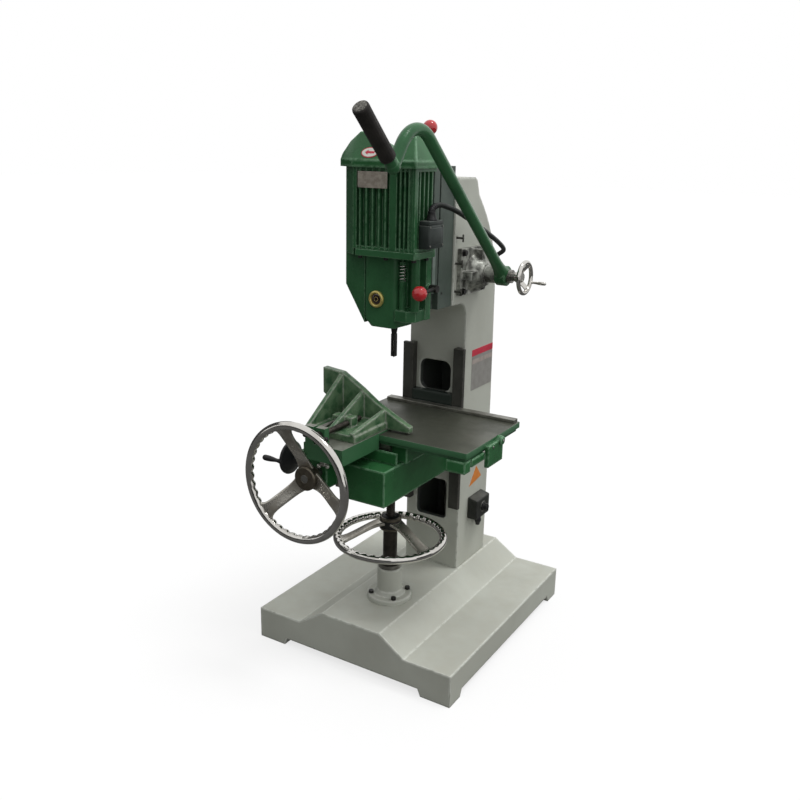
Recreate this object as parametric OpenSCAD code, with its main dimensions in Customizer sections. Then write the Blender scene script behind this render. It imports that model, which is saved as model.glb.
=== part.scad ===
// Column mortising machine with a hollow square chisel.
// Millimetres. The origin is the middle of the base at floor level,
// +X is the operator's right, +Y points to the back and +Z up.

/* [Base] */
// Width of the base casting
base_w = 660; // [600:10:760]
// Depth of the base casting
base_d = 748; // [700:10:860]
// Height of the base's low sides
base_h = 96; // [80:1:120]
// Height of the ridge along the middle
ridge_h = 150; // [135:1:180]
// Width of the ridge's flat top
ridge_top_w = 200; // [196:1:230]
// Width of the ridge where its slopes meet the low sides
ridge_foot_w = 362; // [320:1:420]
// Wall of the base casting
base_wall = 14; // [10:1:20]
// Length of each corner foot along the front
foot_l = 92; // [60:1:130]
// Height of the gap between the feet
foot_gap = 22; // [12:1:30]

/* [Column] */
// Width of the column
column_w = 190; // [184:1:200]
// Place of the column's lower front face, behind the middle
column_front = 90; // [86:1:96]
// Place of the column's back face
column_back = 285; // [275:1:310]
// Height of the column's top above the floor
column_top = 1375; // [1340:5:1420]
// Wall of the column casting
column_wall = 20; // [14:1:22]
// Height of the underside of the upper block that carries the head
block_z = 1020; // [1000:5:1030]
// Radius of the curve under the upper block
block_r = 46; // [30:1:50]

/* [Ways] */
// Width of each way rail
rail_w = 35; // [28:1:38]
// Thickness of each way rail
rail_t = 26; // [22:1:28]
// Distance from the middle to a rail's outer edge
rail_out = 105; // [101:1:108]
// Lower end of the rails
rail_low = 366; // [320:5:380]
// Upper end of the rails
rail_high = 880; // [860:5:900]
// Gap between parts that slide on each other
slide_gap = 0.3; // [0.3:0.05:0.4]
// Radial gap of a running shaft
fit_gap = 0.05; // [0.02:0.01:0.08]

/* [Elevating screw] */
// Sideways place of the elevating screw
screw_x = 8; // [0:1:20]
// Place of the elevating screw in front of the middle
screw_y = -175; // [-180:1:-170]
// Diameter of the elevating screw
screw_d = 26; // [22:1:30]
// Outer diameter of the nut sleeve
sleeve_d = 42; // [38:1:46]
// Diameter of the pedestal's tube
pedestal_d = 74; // [66:1:84]
// Diameter of the pedestal's flange
pedestal_flange_d = 134; // [124:1:150]
// Height of the pedestal's top above the floor
pedestal_top = 250; // [235:1:260]
// Height of the wheel's rim plane above the floor
lift_rim_z = 346; // [330:1:352]
// Radius of the elevating handwheel
lift_wheel_r = 169; // [150:1:172]

/* [Knee] */
// Place of the knee's right face
knee_right = 92; // [84:1:100]
// Place of the knee's left face
knee_left = -54; // [-58:1:-50]
// Place of the knee's front face
knee_front = -345; // [-360:1:-335]
// Underside of the knee above the floor
knee_low = 516; // [506:1:530]
// Top of the knee above the floor
knee_high = 618; // [606:1:624]
// Wall of the knee casting
knee_wall = 12; // [9:1:16]

/* [Table] */
// Height of the table's top above the floor
table_z = 695; // [690:1:704]
// Thickness of the table plate
table_t = 27; // [22:1:30]
// Place of the table's left end
table_left = -150; // [-170:1:-140]
// Place of the table's right end
table_right = 300; // [280:1:320]
// Place of the table's front edge
table_front = -276; // [-284:1:-270]
// Place of the table's back edge
table_back = 58; // [50:1:60]

/* [Table drive] */
// Sideways place of the big handwheel's shaft
drive_x = -86; // [-87:1:-83]
// Height of the big handwheel's shaft
drive_z = 600; // [598:1:601]
// Radius of the big handwheel
drive_wheel_r = 165; // [150:1:170]
// Place of the big handwheel's rim plane
drive_rim_y = -500; // [-512:1:-496]
// Dish of both chrome handwheels, from hub to rim
wheel_dish = 52; // [44:1:56]
// Diameter of a chrome wheel's rim
rim_d = 23; // [18:1:26]
// Module of the table's rack and pinion
table_m = 3; // [3]
// Teeth of the table's pinion
table_teeth = 16; // [16]

/* [Clamp] */
// Left edge of the clamp bed
bed_left = -95; // [-105:1:-85]
// Right edge of the clamp bed
bed_right = 30; // [20:1:40]
// Front edge of the clamp bed
bed_front = -452; // [-458:1:-440]
// Height of the jaw's tall end above the floor
jaw_top = 846; // [820:1:850]
// Place of the jaw's pressing face
jaw_face = -215; // [-222:1:-210]
// Diameter of the clamp screw
clamp_screw_d = 16; // [12:1:18]

/* [Head] */
// Half width of the motor housing
motor_half = 96; // [90:1:98]
// Front face of the motor housing
motor_front = -226; // [-232:1:-220]
// Back face of the motor housing
motor_back = -116; // [-118:1:-114]
// Underside of the motor's fins
motor_low = 1190; // [1180:1:1200]
// Underside of the cowl's brim
cowl_low = 1402; // [1390:1:1406]
// Height of the cowl's brim
brim_h = 18; // [14:1:24]
// Height of the left peak of the cowl
peak_left_z = 1492; // [1470:1:1510]
// Height of the right peak of the cowl
peak_right_z = 1489; // [1470:1:1510]
// Left edge of the head casting
cheek_left = -140; // [-146:1:-132]
// Width of the head slide
slide_w = 180; // [170:1:186]
// Upper end of the head slide
slide_top = 1407; // [1395:1:1420]

/* [Tool] */
// Place of the tool's axis in front of the middle
tool_y = -160; // [-164:1:-156]
// Tip of the hollow chisel above the floor
chisel_tip = 891; // [880:1:900]
// Width of the square chisel
chisel_w = 12.7; // [9.5:0.1:16]
// Diameter of the chisel's shank
shank_d = 20; // [18:0.5:22]

/* [Feed lever] */
// Height of the lever's axis above the floor
lever_z = 1105; // [1095:1:1115]
// Place of the lever's axis behind the middle
lever_y = 104; // [104]
// Sideways place of the lever
lever_x = 200; // [196:1:205]
// Diameter of the lever's tube
lever_d = 30; // [26:1:34]
// Diameter of the lever's grip
grip_d = 38; // [34:1:44]
// Diameter of the pinion shaft
feed_shaft_d = 25; // [20:1:28]
// Module of the feed rack and pinion
feed_m = 4; // [4]
// Teeth of the feed pinion
feed_teeth = 36; // [36]

/* [Fittings] */
// Diameter of a bolt's head
bolt_head = 17; // [12:1:20]
// Diameter of a red knob
knob_d = 40; // [34:1:44]
// Diameter of the motor lead
lead_d = 14; // [10:1:16]
// Radius of the two small handwheels
small_wheel_r = 50; // [44:1:54]

/* [Hidden] */
$fn = 64;
e = 0.01;
green = [0.11, 0.32, 0.17];
grey = [0.78, 0.79, 0.76];
dark = [0.17, 0.17, 0.16];
steel = [0.62, 0.62, 0.60];
chrome = [0.80, 0.80, 0.80];
black = [0.08, 0.08, 0.08];
red = [0.78, 0.13, 0.17];
brass = [0.72, 0.60, 0.22];

half_w = base_w / 2;
half_d = base_d / 2;
col_half = column_w / 2;
rail_in = rail_out - rail_w;
rail_front = column_front - rail_t;
rail_step = rail_t / 2;
keeper_in = rail_out - 17;
foot_d = 60;
foot_slant = 10;
anchor_in_x = 34;
anchor_in_y = 29;
anchor_d = 13;

// Column: curve of the upper back, and the windows
back_bend = column_back - 9;
back_curve_low = column_top - 335;
back_curve_high = column_top - 50;
top_flat = 126;
top_neck = top_flat + 16;
groove_depth = 25;
groove_half = 40;
groove_flare = 12;
gib_t = 8;
slot_half = 15;
block_inner = 45;
win_half = 54;
win_x = -4;
win_upper = [733, 830];
win_lower = [313, 445];

feed_r = feed_m * feed_teeth / 2;
rack_line = lever_y - feed_r;
rack_half = 12;
bracket_x = 150;
bracket_tube_x = 182;
bracket_tube_d = 48;
hub_w = 32;
lever_hub_d = 57;

saddle_low = knee_high + slide_gap;
table_low = table_z - table_t;
saddle_high = table_low - slide_gap;
saddle_front = -252;
saddle_back = 25;
saddle_left = -150;
saddle_right = 105;
key_x = (knee_left + knee_right) / 2;
key_half = 22;
key_h = 10;
rack_y = -270;
rack_t = 14;
table_r = table_m * table_teeth / 2;
apron_front = -400;
apron_back = -279;
apron_mid = -350;
apron_low = 556;
apron_high = 650;
heel_low = 566;
heel_back = -150;
shaft_d = 22;
hub_y = drive_rim_y + wheel_dish;
apron_cheek = drive_x - shaft_d / 2 - 2;
pocket_left = drive_x - table_r - table_m - 2;

// Cross drive: its shaft runs along X under the saddle
cross_y = -300;
cross_z = 576;
cross_x = -250;
cross_m = 2;
cross_teeth = 18;
cross_r = cross_m * cross_teeth / 2;
cross_d = 16;
cross_gear_x = knee_left - 16;

bed_low = 655;
bed_top = table_z + 5;
screw_line_x = -40;
screw_line_z = 730;
guide_x = -76;
nut_t = 20;
jaw_foot_front = jaw_face - 175;
jaw_plate_t = 20;

// Head
slide_low = block_z;
slide_t = 78;
slide_neck = 86;
slide_flange = 115;
slide_half = slide_w / 2;
flange_z = 1172;
flange_left = -85;
head_back = -slide_flange - slide_gap;
box_left = -75;
box_right = 29;
box_front = -205;
box_low = 978;
box_cut = 20;
post_x = 80;
post_y = -186;
valley_x = 42;
fin_t = 4;
fin_depth = 16;
brim_out = 6;
brim_left = 16;
bend_r = 85;
cowl_t = 3;
stator_r = 41;
stator_bore = 30;
rotor_r = 28;
fan_r = 34;
spindle_d = 18;
auger_d = 9;
chisel_bore = auger_d + 0.8;

// Motor lead: points chosen by hand, from the terminal box to the column's back
lead_route = [
    [112, -165, 1290], [112, -165, 1297], [114, -156, 1306], [121, -136, 1310], [128, -108, 1304],
    [134, -76, 1294], [140, -40, 1279], [146, 0, 1262], [150, 45, 1242], [152, 92, 1222],
    [152, 136, 1204], [149, 178, 1187], [142, 217, 1172], [130, 250, 1160], [112, 276, 1150],
    [92, 296, 1140], [75, 312, 1126], [63, 322, 1108], [56, 325, 1089], [54, 319, 1072],
    [54, 309, 1062], [54, 296, 1062]
];
flange_t = 16;
flange_bolt_r = 56;
bolt_d = 10;
bearing_h = 12;
spigot_d = 44;
gib_screw_z = [1060, 1140, 1212];
gib_screw_y = 12;
gib_screw_d = 8;
gib_screw_x = col_half + 20;
gland_x = 54;
gland_z = 1062;
gland_stem = 18;
switch_y = 198;
lift_dish = 46;
lift_hub_h = 40;
hub_d = 64;
knee_flange_y = 34;
screw_low = 112;
screw_top = 588;
lock_x = -66;
lock_z = 632;
lock_d = 10;
cross_wheel_x = -262;
guide_d = 12;
jaw_boss_y = -330;
clamp_head_y = -480;
chisel_seat = 26;
bearing_d = 42;
bearing_z = [1030, 1155];
spindle_low = 1008;
lever_wheel_x = 268;
lever_top = [-411, 1533];
lever_end = [-498, 1413];
grip_way = [0, -0.735, 0.678];
grip_start = 26;
grip_end = 178;
mode_x = 94;
mode_y = -131;
mode_z = 1087;
lock_pivot = [34, -50, slide_top + 14];
spring_r = 6.5;
spring_wire = 2.2;
spring_turns = 5;
spring_low = 1108;
spring_pitch = 8;
spring_x = 42;
spring_y = -190;
spring_seat = spring_low + spring_wire / 2 - slide_gap;
spring_top = spring_low + spring_wire * 1.5 + spring_turns * spring_pitch;
lock_half = 13;
jaw_travel = 30;
clamp_end = jaw_face - jaw_plate_t - jaw_travel - 3;

function unit(v) = v / norm(v);
function tangent(p, i) = unit(p[min(i + 1, len(p) - 1)] - p[max(i - 1, 0)]);
function side(t) = unit(cross(t, abs(t[2]) > 0.9 ? [1, 0, 0] : [0, 0, 1]));

// Round tube swept along the points of a route
module swept(route, d, sides) {
    rings = [for (i = [0:len(route) - 1])
        let (t = tangent(route, i), u = side(t), w = cross(t, u))
        for (k = [0:sides - 1])
            let (a = 360 * k / sides) route[i] + d / 2 * (cos(a) * u + sin(a) * w)];
    last = (len(route) - 1) * sides;
    walls = [for (i = [0:len(route) - 2], k = [0:sides - 1])
        let (a = i * sides + k, b = i * sides + (k + 1) % sides)
        for (f = [[a, b, b + sides], [a, b + sides, a + sides]]) f];
    ends = concat([[for (k = [0:sides - 1]) sides - 1 - k]], [[for (k = [0:sides - 1]) last + k]]);
    polyhedron(points = rings, faces = concat(walls, ends), convexity = 6);
}

// Places a shape that is drawn along +Z so that it runs along X or Y
module along_x() rotate([0, 90, 0]) children();
module along_y() rotate([-90, 0, 0]) children();
module mirror_x() {
    children();
    mirror([1, 0, 0]) children();
}

// Slab between two X places with an outline in the Y-Z plane
module side_slab(x0, x1, points)
    translate([x0, 0, 0]) rotate([90, 0, 90]) linear_extrude(height = x1 - x0) polygon(points);

// Slab between two Y places with an outline in the X-Z plane
module front_slab(y0, y1, points)
    translate([0, y1, 0]) rotate([90, 0, 0]) linear_extrude(height = y1 - y0) polygon(points);

module box(low, high) translate(low) cube(high - low);

module tube(d, bore, h) difference() {
    cylinder(d = d, h = h);
    translate([0, 0, -1]) cylinder(d = bore, h = h + 2);
}

// Spur gear with straight-sided teeth, axis on Z
module gear(m, teeth, width, bore) {
    r = m * teeth / 2;
    pitch = 360 / teeth;
    outline = [for (i = [0:teeth - 1]) let (a = i * pitch)
        for (q = [[r - 1.2 * m, -0.29], [r + m, -0.11], [r + m, 0.11], [r - 1.2 * m, 0.29]])
            [q[0] * cos(a + q[1] * pitch), q[0] * sin(a + q[1] * pitch)]];
    linear_extrude(height = width) difference() {
        polygon(outline);
        circle(d = bore);
    }
}

// Outline of a rack from s0 to s1 with its pitch line at 0 and a tooth gap at the mesh point
function rack_line_points(m, s0, s1, back) = let (p = PI * m, n0 = ceil(s0 / p), n1 = floor(s1 / p) - 1)
    concat([[s0, -back], [s0, -1.25 * m]],
        [for (i = [n0:n1]) for (q = [[0.22, -1.25], [0.38, 0.9], [0.62, 0.9], [0.78, -1.25]])
            [(i + q[0]) * p, q[1] * m]],
        [[s1, -1.25 * m], [s1, -back]]);

// Handwheel with a dished hub, axis on Z: the rim lies in the plane z = 0
module handwheel(r, rim, dish, hub_d, hub_h, bore, spoke_w) {
    spoke_t = 9;
    rotate_extrude() translate([r - rim / 2, 0]) circle(d = rim, $fn = 32);
    difference() {
        union() {
            translate([0, 0, dish - hub_h / 2]) cylinder(d = hub_d, h = hub_h);
            for (k = [0:2]) rotate([0, 0, 120 * k])
                translate([0, spoke_w / 2, 0]) rotate([90, 0, 0]) linear_extrude(height = spoke_w)
                    polygon([[hub_d / 2 - 6, dish - spoke_t / 2], [r - rim * 1.1, -spoke_t / 2],
                        [r - rim * 0.6, -spoke_t / 2], [r - rim * 0.6, spoke_t / 2],
                        [r - rim * 1.0, spoke_t / 2], [hub_d / 2 - 6, dish + spoke_t / 2]]);
        }
        translate([0, 0, dish - hub_h]) cylinder(d = bore, h = 2 * hub_h);
    }
}

module hex_bolt(d, h, af) {
    cylinder(d = d, h = h + e);
    translate([0, 0, h]) cylinder(d = af, h = d * 0.7, $fn = 6);
}

// Outline of the base seen from the front, inset by w, from the height low up
function base_outline(w, low) = let (x = half_w - w, f = ridge_foot_w / 2 - 0.35 * w,
    t = ridge_top_w / 2 - 0.35 * w)
    [[-x, low], [x, low], [x, base_h - w], [f, base_h - w], [t, ridge_h - w],
        [-t, ridge_h - w], [-f, base_h - w], [-x, base_h - w]];

module foot_cut(reach, foot, gap) polygon([[-(reach - foot), -1], [reach - foot, -1],
    [reach - foot - foot_slant, gap], [-(reach - foot - foot_slant), gap]]);

module base_casting() color(grey) difference() {
    union() {
        difference() {
            front_slab(-half_d, half_d, base_outline(0, 0));
            front_slab(-half_d + base_wall, half_d - base_wall, base_outline(base_wall, -1));
        }
        for (y = [column_front, column_back - base_wall])
            front_slab(y, y + base_wall, base_outline(base_wall - 1, base_h / 2));
        for (x = [-half_w, half_w - foot_l], y = [-half_d, half_d - foot_d])
            box([x, y, 0], [x + foot_l, y + foot_d, base_wall]);
    }
    translate([0, half_d + 1, 0]) rotate([90, 0, 0]) linear_extrude(height = base_d + 2)
        foot_cut(half_w, foot_l, foot_gap);
    translate([-half_w - 1, 0, 0]) rotate([90, 0, 90]) linear_extrude(height = base_w + 2)
        foot_cut(half_d, foot_d, foot_gap);
    translate([screw_x, screw_y, 0]) cylinder(d = screw_d + 12, h = ridge_h + 1);
    for (x = [-half_w + anchor_in_x, half_w - anchor_in_x], y = [-half_d + anchor_in_y, half_d - anchor_in_y])
        translate([x, y, -1]) cylinder(d = anchor_d, h = base_wall + 2);
}

// Side outline of the column, inset by w from its outer faces
function column_curve(w) = [for (i = [0:10]) let (t = i / 10, u = 1 - t)
    [u * u * u * back_bend + 3 * u * u * t * (back_bend - 10) + 3 * u * t * t * (top_neck + 30) + t * t * t * top_neck - w,
        u * u * u * back_curve_low + 3 * u * u * t * (back_curve_low + 175)
        + 3 * u * t * t * (back_curve_high - 36) + t * t * t * back_curve_high - 0.6 * w]];

function column_outline() = concat(
    [[column_back, ridge_h], [column_front, ridge_h]],
    [for (i = [0:8]) let (a = 90 * i / 8)
        [column_front - block_r + block_r * cos(a), block_z - block_r + block_r * sin(a)]],
    [[0, block_z], [0, column_top - 12], [12, column_top], [top_flat - 14, column_top],
        [top_flat, column_top - 8]],
    [for (i = [0:10]) column_curve(0)[10 - i]], [[column_back, column_top - 700]]);

function column_hollow() = let (w = column_wall) concat(
    [[column_back - w, ridge_h + w], [column_front + w, ridge_h + w],
        [column_front + w, block_z - 20], [block_inner, block_z + 25],
        [block_inner, column_top - w], [top_flat - w, column_top - w]],
    [for (i = [0:10]) column_curve(w)[10 - i]], [[column_back - w, column_top - 700]]);

// Opening through a wall that faces the front, with round corners
module window(x, half, z, r, y0, y1) translate([0, y1, 0]) rotate([90, 0, 0])
    linear_extrude(height = y1 - y0) {
        translate([x - half + r, z[0]]) square([2 * (half - r), z[1] - z[0]]);
        translate([x - half, z[0] + r]) square([2 * half, z[1] - z[0] - 2 * r]);
        for (s = [-1, 1], h = [z[0] + r, z[1] - r]) translate([x + s * (half - r), h]) circle(r = r);
    }

module column_casting() color(grey) difference() {
    side_slab(-col_half, col_half, column_outline());
    side_slab(-col_half + column_wall, col_half - column_wall, column_hollow());
    window(win_x, win_half, win_upper, 26, column_front - 1, column_front + column_wall + 1);
    window(win_x, win_half, win_lower, 14, column_front - 1, column_front + column_wall + 1);
    window(0, 58, [ridge_h + 60, ridge_h + 370], 8, column_back - column_wall - 1, column_back + 1);
    // Dovetail groove for the head slide, with room for the gib on the right
    translate([0, 0, block_z - 1]) linear_extrude(height = column_top) polygon([
        [-groove_half - 0.5, -1], [groove_half + gib_t, -1], [groove_half + gib_t, 0],
        [groove_half + groove_flare + gib_t, groove_depth],
        [-groove_half - groove_flare - 0.5, groove_depth], [-groove_half - 0.5, 0]]);
    // Slot in which the rack meets the feed pinion
    box([-slot_half, groove_depth - 1, block_z - 1], [slot_half, block_inner + 1, lever_z + 140]);
    translate([-col_half - 1, lever_y, lever_z]) along_x()
        cylinder(d = feed_shaft_d + 2 * fit_gap, h = column_wall + 2);
    translate([col_half - column_wall - 1, lever_y, lever_z]) along_x()
        cylinder(d = spigot_d + 0.4, h = column_wall + 2);
    for (z = gib_screw_z) translate([groove_half + gib_t, gib_screw_y, z]) along_x()
        cylinder(d = gib_screw_d + 0.4, h = col_half);
    translate([gland_x, column_back - 60, gland_z]) along_y() cylinder(d = gland_stem + 0.4, h = 80);
}

module rear_cover() color(grey) {
    box([-72, column_back, ridge_h + 45], [72, column_back + 3, ridge_h + 385]);
    for (x = [-64, 64], z = [ridge_h + 55, ridge_h + 375]) translate([x, column_back + 3, z])
        along_y() cylinder(d = 10, h = 3);
}

module way_rails() color(dark) mirror_x() {
    box([rail_in, rail_front, rail_low], [rail_out, rail_front + rail_step, rail_high]);
    box([rail_in, rail_front + rail_step - e, rail_low], [keeper_in, column_front, rail_high]);
}

module pedestal() color(grey) translate([screw_x, screw_y, 0]) difference() {
    union() {
        translate([0, 0, ridge_h]) cylinder(d = pedestal_flange_d, h = flange_t);
        translate([0, 0, ridge_h + flange_t - e]) cylinder(d1 = pedestal_d + 18, d2 = pedestal_d, h = 12);
        translate([0, 0, ridge_h]) cylinder(d = pedestal_d, h = pedestal_top - ridge_h);
    }
    translate([0, 0, pedestal_top - 52]) cylinder(d = sleeve_d + 2 * fit_gap, h = 60);
    translate([0, 0, ridge_h - 1]) cylinder(d = screw_d + 8, h = 80);
    for (a = [45:90:315]) rotate([0, 0, a]) translate([flange_bolt_r, 0, ridge_h - 1])
        cylinder(d = bolt_d + 0.6, h = flange_t + 2);
}

module thrust_bearing() color(steel) translate([screw_x, screw_y, pedestal_top])
    tube(sleeve_d + 26, sleeve_d + 1, bearing_h);

module pinion_bracket() color(steel) difference() {
    union() {
        box([col_half, lever_y - 84, lever_z - 58], [col_half + 14, lever_y + 60, lever_z + 76]);
        translate([col_half + 14 - e, lever_y, lever_z]) along_x()
            cylinder(d1 = 112, d2 = 66, h = bracket_x - col_half - 14);
        translate([col_half, lever_y, lever_z]) along_x()
            cylinder(d = bracket_tube_d, h = bracket_tube_x - col_half);
        translate([col_half - column_wall + 2, lever_y, lever_z]) along_x() cylinder(d = spigot_d, h = column_wall);
        box([col_half + 13, lever_y - 78, lever_z - 12], [bracket_x - 12, lever_y, lever_z + 12]);
        box([col_half + 13, lever_y - 12, lever_z], [bracket_x - 12, lever_y + 12, lever_z + 70]);
    }
    translate([0, lever_y, lever_z]) along_x() cylinder(d = feed_shaft_d + 2 * fit_gap, h = 300);
}

module frame_bolts() color(dark) {
    translate([screw_x, screw_y, ridge_h]) for (a = [45:90:315]) rotate([0, 0, a])
        translate([flange_bolt_r, 0, 0]) hex_bolt(bolt_d, flange_t, bolt_head);
    for (y = [lever_y - 72, lever_y + 48], z = [lever_z - 46, lever_z + 64])
        translate([col_half + 14, y, z]) along_x() hex_bolt(bolt_d, 1, bolt_head);
}

function dove(y) = groove_half + groove_flare * y / groove_depth;

module head_gib() color(steel) translate([0, 0, block_z + 4]) linear_extrude(height = column_top - block_z - 8)
    polygon([[dove(1) + 0.5, 1], [dove(1) + gib_t - 0.3, 1],
        [dove(groove_depth - 1) + gib_t - 0.3, groove_depth - 1],
        [dove(groove_depth - 1) + 0.5, groove_depth - 1]]);

module gib_screws() color(dark) for (z = gib_screw_z) translate([0, gib_screw_y, z]) {
    x0 = dove(gib_screw_y + gib_screw_d / 2) + gib_t;
    translate([x0, 0, 0]) along_x() cylinder(d = gib_screw_d, h = gib_screw_x - x0);
    translate([gib_screw_x, 0, -11]) cylinder(d = 7, h = 22);
}

module switch_box() color(black) {
    front_slab(switch_y - 46, switch_y + 46, [[col_half, 303], [col_half + 34, 303], [col_half + 34, 369],
        [col_half, 377]]);
}

module cable_glands() color(black) {
    translate([col_half + 17, switch_y, 270]) cylinder(d = 22, h = 33);
    translate([gland_x, column_back - 26, gland_z]) along_y() cylinder(d = gland_stem, h = 18);
    translate([gland_x, column_back - 9, gland_z]) along_y() cylinder(d = 28, h = 8, $fn = 6);
    translate([gland_x, column_back - 1 - e, gland_z]) along_y() cylinder(d = 22, h = lead_route[len(lead_route) - 1][1] - column_back + 1);
}

module label_plates() color([0.9, 0.9, 0.88]) {
    box([col_half, 136, 735], [col_half + 0.8, column_back - 4, 866]);
    side_slab(col_half, col_half + 0.8, [[160, 416], [244, 424], [203, 476]]);
}

module switch_knob() color(red) translate([col_half + 34.3, switch_y, 338]) along_x() {
    cylinder(d = 28, h = 5);
    translate([0, 0, 5 - e]) cylinder(d = 20, h = 12);
    translate([-3, -12, 5]) cube([6, 24, 14]);
}

module elevating_wheel() color(chrome) translate([screw_x, screw_y, lift_rim_z]) rotate([0, 0, 105])
    handwheel(lift_wheel_r, rim_d, lift_dish, hub_d, lift_hub_h, screw_d + 4, 36);

module nut_sleeve() color(dark) translate([screw_x, screw_y, 0]) difference() {
    top = lift_rim_z + lift_dish - lift_hub_h / 2;
    union() {
        translate([0, 0, pedestal_top - 48]) cylinder(d = sleeve_d, h = top - pedestal_top + 48);
        translate([0, 0, pedestal_top + bearing_h + slide_gap]) cylinder(d = sleeve_d + 22, h = 10);
    }
    translate([0, 0, pedestal_top - 49]) cylinder(d = screw_d + 4, h = top - pedestal_top + 9);
    translate([0, 0, 0]) cylinder(d = screw_d + 2 * fit_gap, h = top + 1);
}

module knee_casting() color(green) difference() {
    union() {
        box([knee_left, knee_front, knee_low], [knee_right, rail_front - slide_gap, knee_high]);
        box([-rail_out - slide_gap, knee_flange_y, knee_low - 16],
            [rail_out + slide_gap, rail_front - slide_gap, knee_high - 6]);
        // Tongue that runs in the channel between the two rails
        box([-rail_in + slide_gap, rail_front - 1, knee_low - 16], [rail_in - slide_gap, column_front - 4, knee_high + 118]);
        box([key_x - key_half, rack_y + rack_t + 4, knee_high - 1],
            [key_x + key_half, saddle_back - 5, knee_high + key_h]);
    }
    difference() {
        box([knee_left + knee_wall, knee_front + knee_wall, knee_low - 1],
            [knee_right - knee_wall, knee_flange_y - knee_wall, knee_high - knee_wall]);
        translate([screw_x, screw_y, knee_low - 2]) cylinder(d = screw_d + 30, h = knee_high - knee_low);
    }
    translate([screw_x, screw_y, knee_low - 1]) cylinder(d = screw_d + 0.3, h = screw_top - knee_low + 2);
}

module knee_keepers() color(dark) mirror_x() translate([0, 0, knee_low - 10])
    linear_extrude(height = knee_high - knee_low - 4) polygon([
        [rail_out + slide_gap, knee_flange_y + 3], [rail_out + 16, knee_flange_y + 3],
        [rail_out + 16, column_front - slide_gap], [keeper_in + slide_gap, column_front - slide_gap],
        [keeper_in + slide_gap, rail_front + rail_step + slide_gap],
        [rail_out + slide_gap, rail_front + rail_step + slide_gap]]);

module elevating_screw() color(dark) translate([screw_x, screw_y, screw_low])
    cylinder(d = screw_d, h = screw_top - screw_low);

module cross_rack() color(steel) side_slab(cross_gear_x, knee_left, [
    for (p = rack_line_points(cross_m, knee_front - cross_y + 2, 38, 15))
        [cross_y + p[0], cross_z - cross_r + p[1]]]);

module saddle() color(green) difference() {
    union() {
        box([saddle_left, saddle_front, saddle_low], [saddle_right, saddle_back, saddle_high]);
        box([saddle_left, apron_front, apron_low], [knee_left - 4, apron_mid, apron_high]);
        box([saddle_left, apron_mid - 1, apron_low], [apron_cheek, apron_back, apron_high]);
        box([saddle_left, apron_back - 1, apron_low], [pocket_left, saddle_front + 1, saddle_low + 1]);
        box([saddle_left, saddle_front, heel_low], [knee_left - 4, heel_back, saddle_low + 1]);
        // Guard plate in front of the table's rack
        box([apron_cheek - 1, apron_back - 4, saddle_low], [knee_right, apron_back, bed_low - 1]);
    }
    box([key_x - key_half - slide_gap, saddle_front - 1, saddle_low - 1],
        [key_x + key_half + slide_gap, saddle_back + 1, knee_high + key_h + slide_gap]);
    translate([drive_x, apron_front - 1, drive_z]) along_y() cylinder(d = shaft_d + 2 * fit_gap, h = 60);
    translate([drive_x, saddle_front - 1, drive_z]) along_y() cylinder(d = shaft_d + 2 * fit_gap, h = 31);
    translate([saddle_left - 1, cross_y, cross_z]) along_x() cylinder(d = cross_d + 2 * fit_gap, h = 60);
    translate([lock_x, apron_front - 1, lock_z]) along_y() cylinder(d = lock_d + 2 * fit_gap, h = 30);
}

module cross_shaft() color(steel) translate([0, cross_y, cross_z]) {
    translate([cross_x, 0, 0]) along_x() cylinder(d = cross_d, h = cross_gear_x - cross_x + 0.1);
    translate([cross_gear_x, 0, 0]) rotate([90, 0, 90]) rotate([0, 0, 90])
        gear(cross_m, cross_teeth, 14, 0.1);
    translate([saddle_left - 8.3, 0, 0]) along_x() cylinder(d = cross_d + 10, h = 8);
}

// Small dished handwheel, axis on Z, its rim in the plane z = 0 and its hub above
module small_wheel(bore) {
    rotate_extrude() translate([small_wheel_r - 6, 0]) circle(d = 12, $fn = 24);
    difference() {
        union() {
            translate([0, 0, 8]) cylinder(d = 30, h = 20);
            for (k = [0:2]) rotate([0, 0, 120 * k]) translate([0, 5, 0]) rotate([90, 0, 0])
                linear_extrude(height = 10) polygon([[11, 10], [small_wheel_r - 10, -3],
                    [small_wheel_r - 6, -3], [small_wheel_r - 6, 4], [11, 18]]);
        }
        translate([0, 0, 7]) cylinder(d = bore, h = 30);
    }
}

module cross_wheel() color(black) translate([cross_wheel_x, cross_y, cross_z]) rotate([0, 90, 0])
    difference() {
        union() {
            rotate([0, 0, 90]) small_wheel(cross_d + 0.2);
            translate([0, 6 - small_wheel_r, -6]) cylinder(d = 14, h = 12);
        }
        translate([0, 6 - small_wheel_r, -7]) cylinder(d = 6 + 2 * fit_gap, h = 18);
    }

module cross_handle() color(black) translate([cross_wheel_x, cross_y - small_wheel_r + 6, cross_z])
    rotate([0, -90, 0]) {
        translate([0, 0, -5]) cylinder(d = 6, h = 13);
        translate([0, 0, 6 + slide_gap]) cylinder(d1 = 11, d2 = 17, h = 44);
        translate([0, 0, 50.3 - e]) cylinder(d1 = 17, d2 = 13, h = 18);
    }

module table_lock() color(chrome) translate([lock_x, apron_front, lock_z]) rotate([90, 0, 0]) {
    translate([0, 0, -24]) cylinder(d = lock_d, h = 25);
    translate([0, 0, slide_gap]) cylinder(d = 16, h = 10);
    for (a = [100, 220, 340]) rotate([0, 0, a]) {
        translate([0, 0, 6]) along_x() cylinder(d = 5, h = 13);
        translate([15, 0, 6]) sphere(d = 10, $fn = 32);
    }
}

module table_plate() color(steel) box([table_left, table_front, table_low], [table_right, table_back, table_z]);

module table_rack() color(steel) front_slab(rack_y, rack_y + rack_t, [
    for (p = rack_line_points(table_m, table_left - drive_x, table_left + 210 - drive_x,
        table_low - drive_z - table_r)) [drive_x + p[0], drive_z + table_r - p[1]]]);

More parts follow.
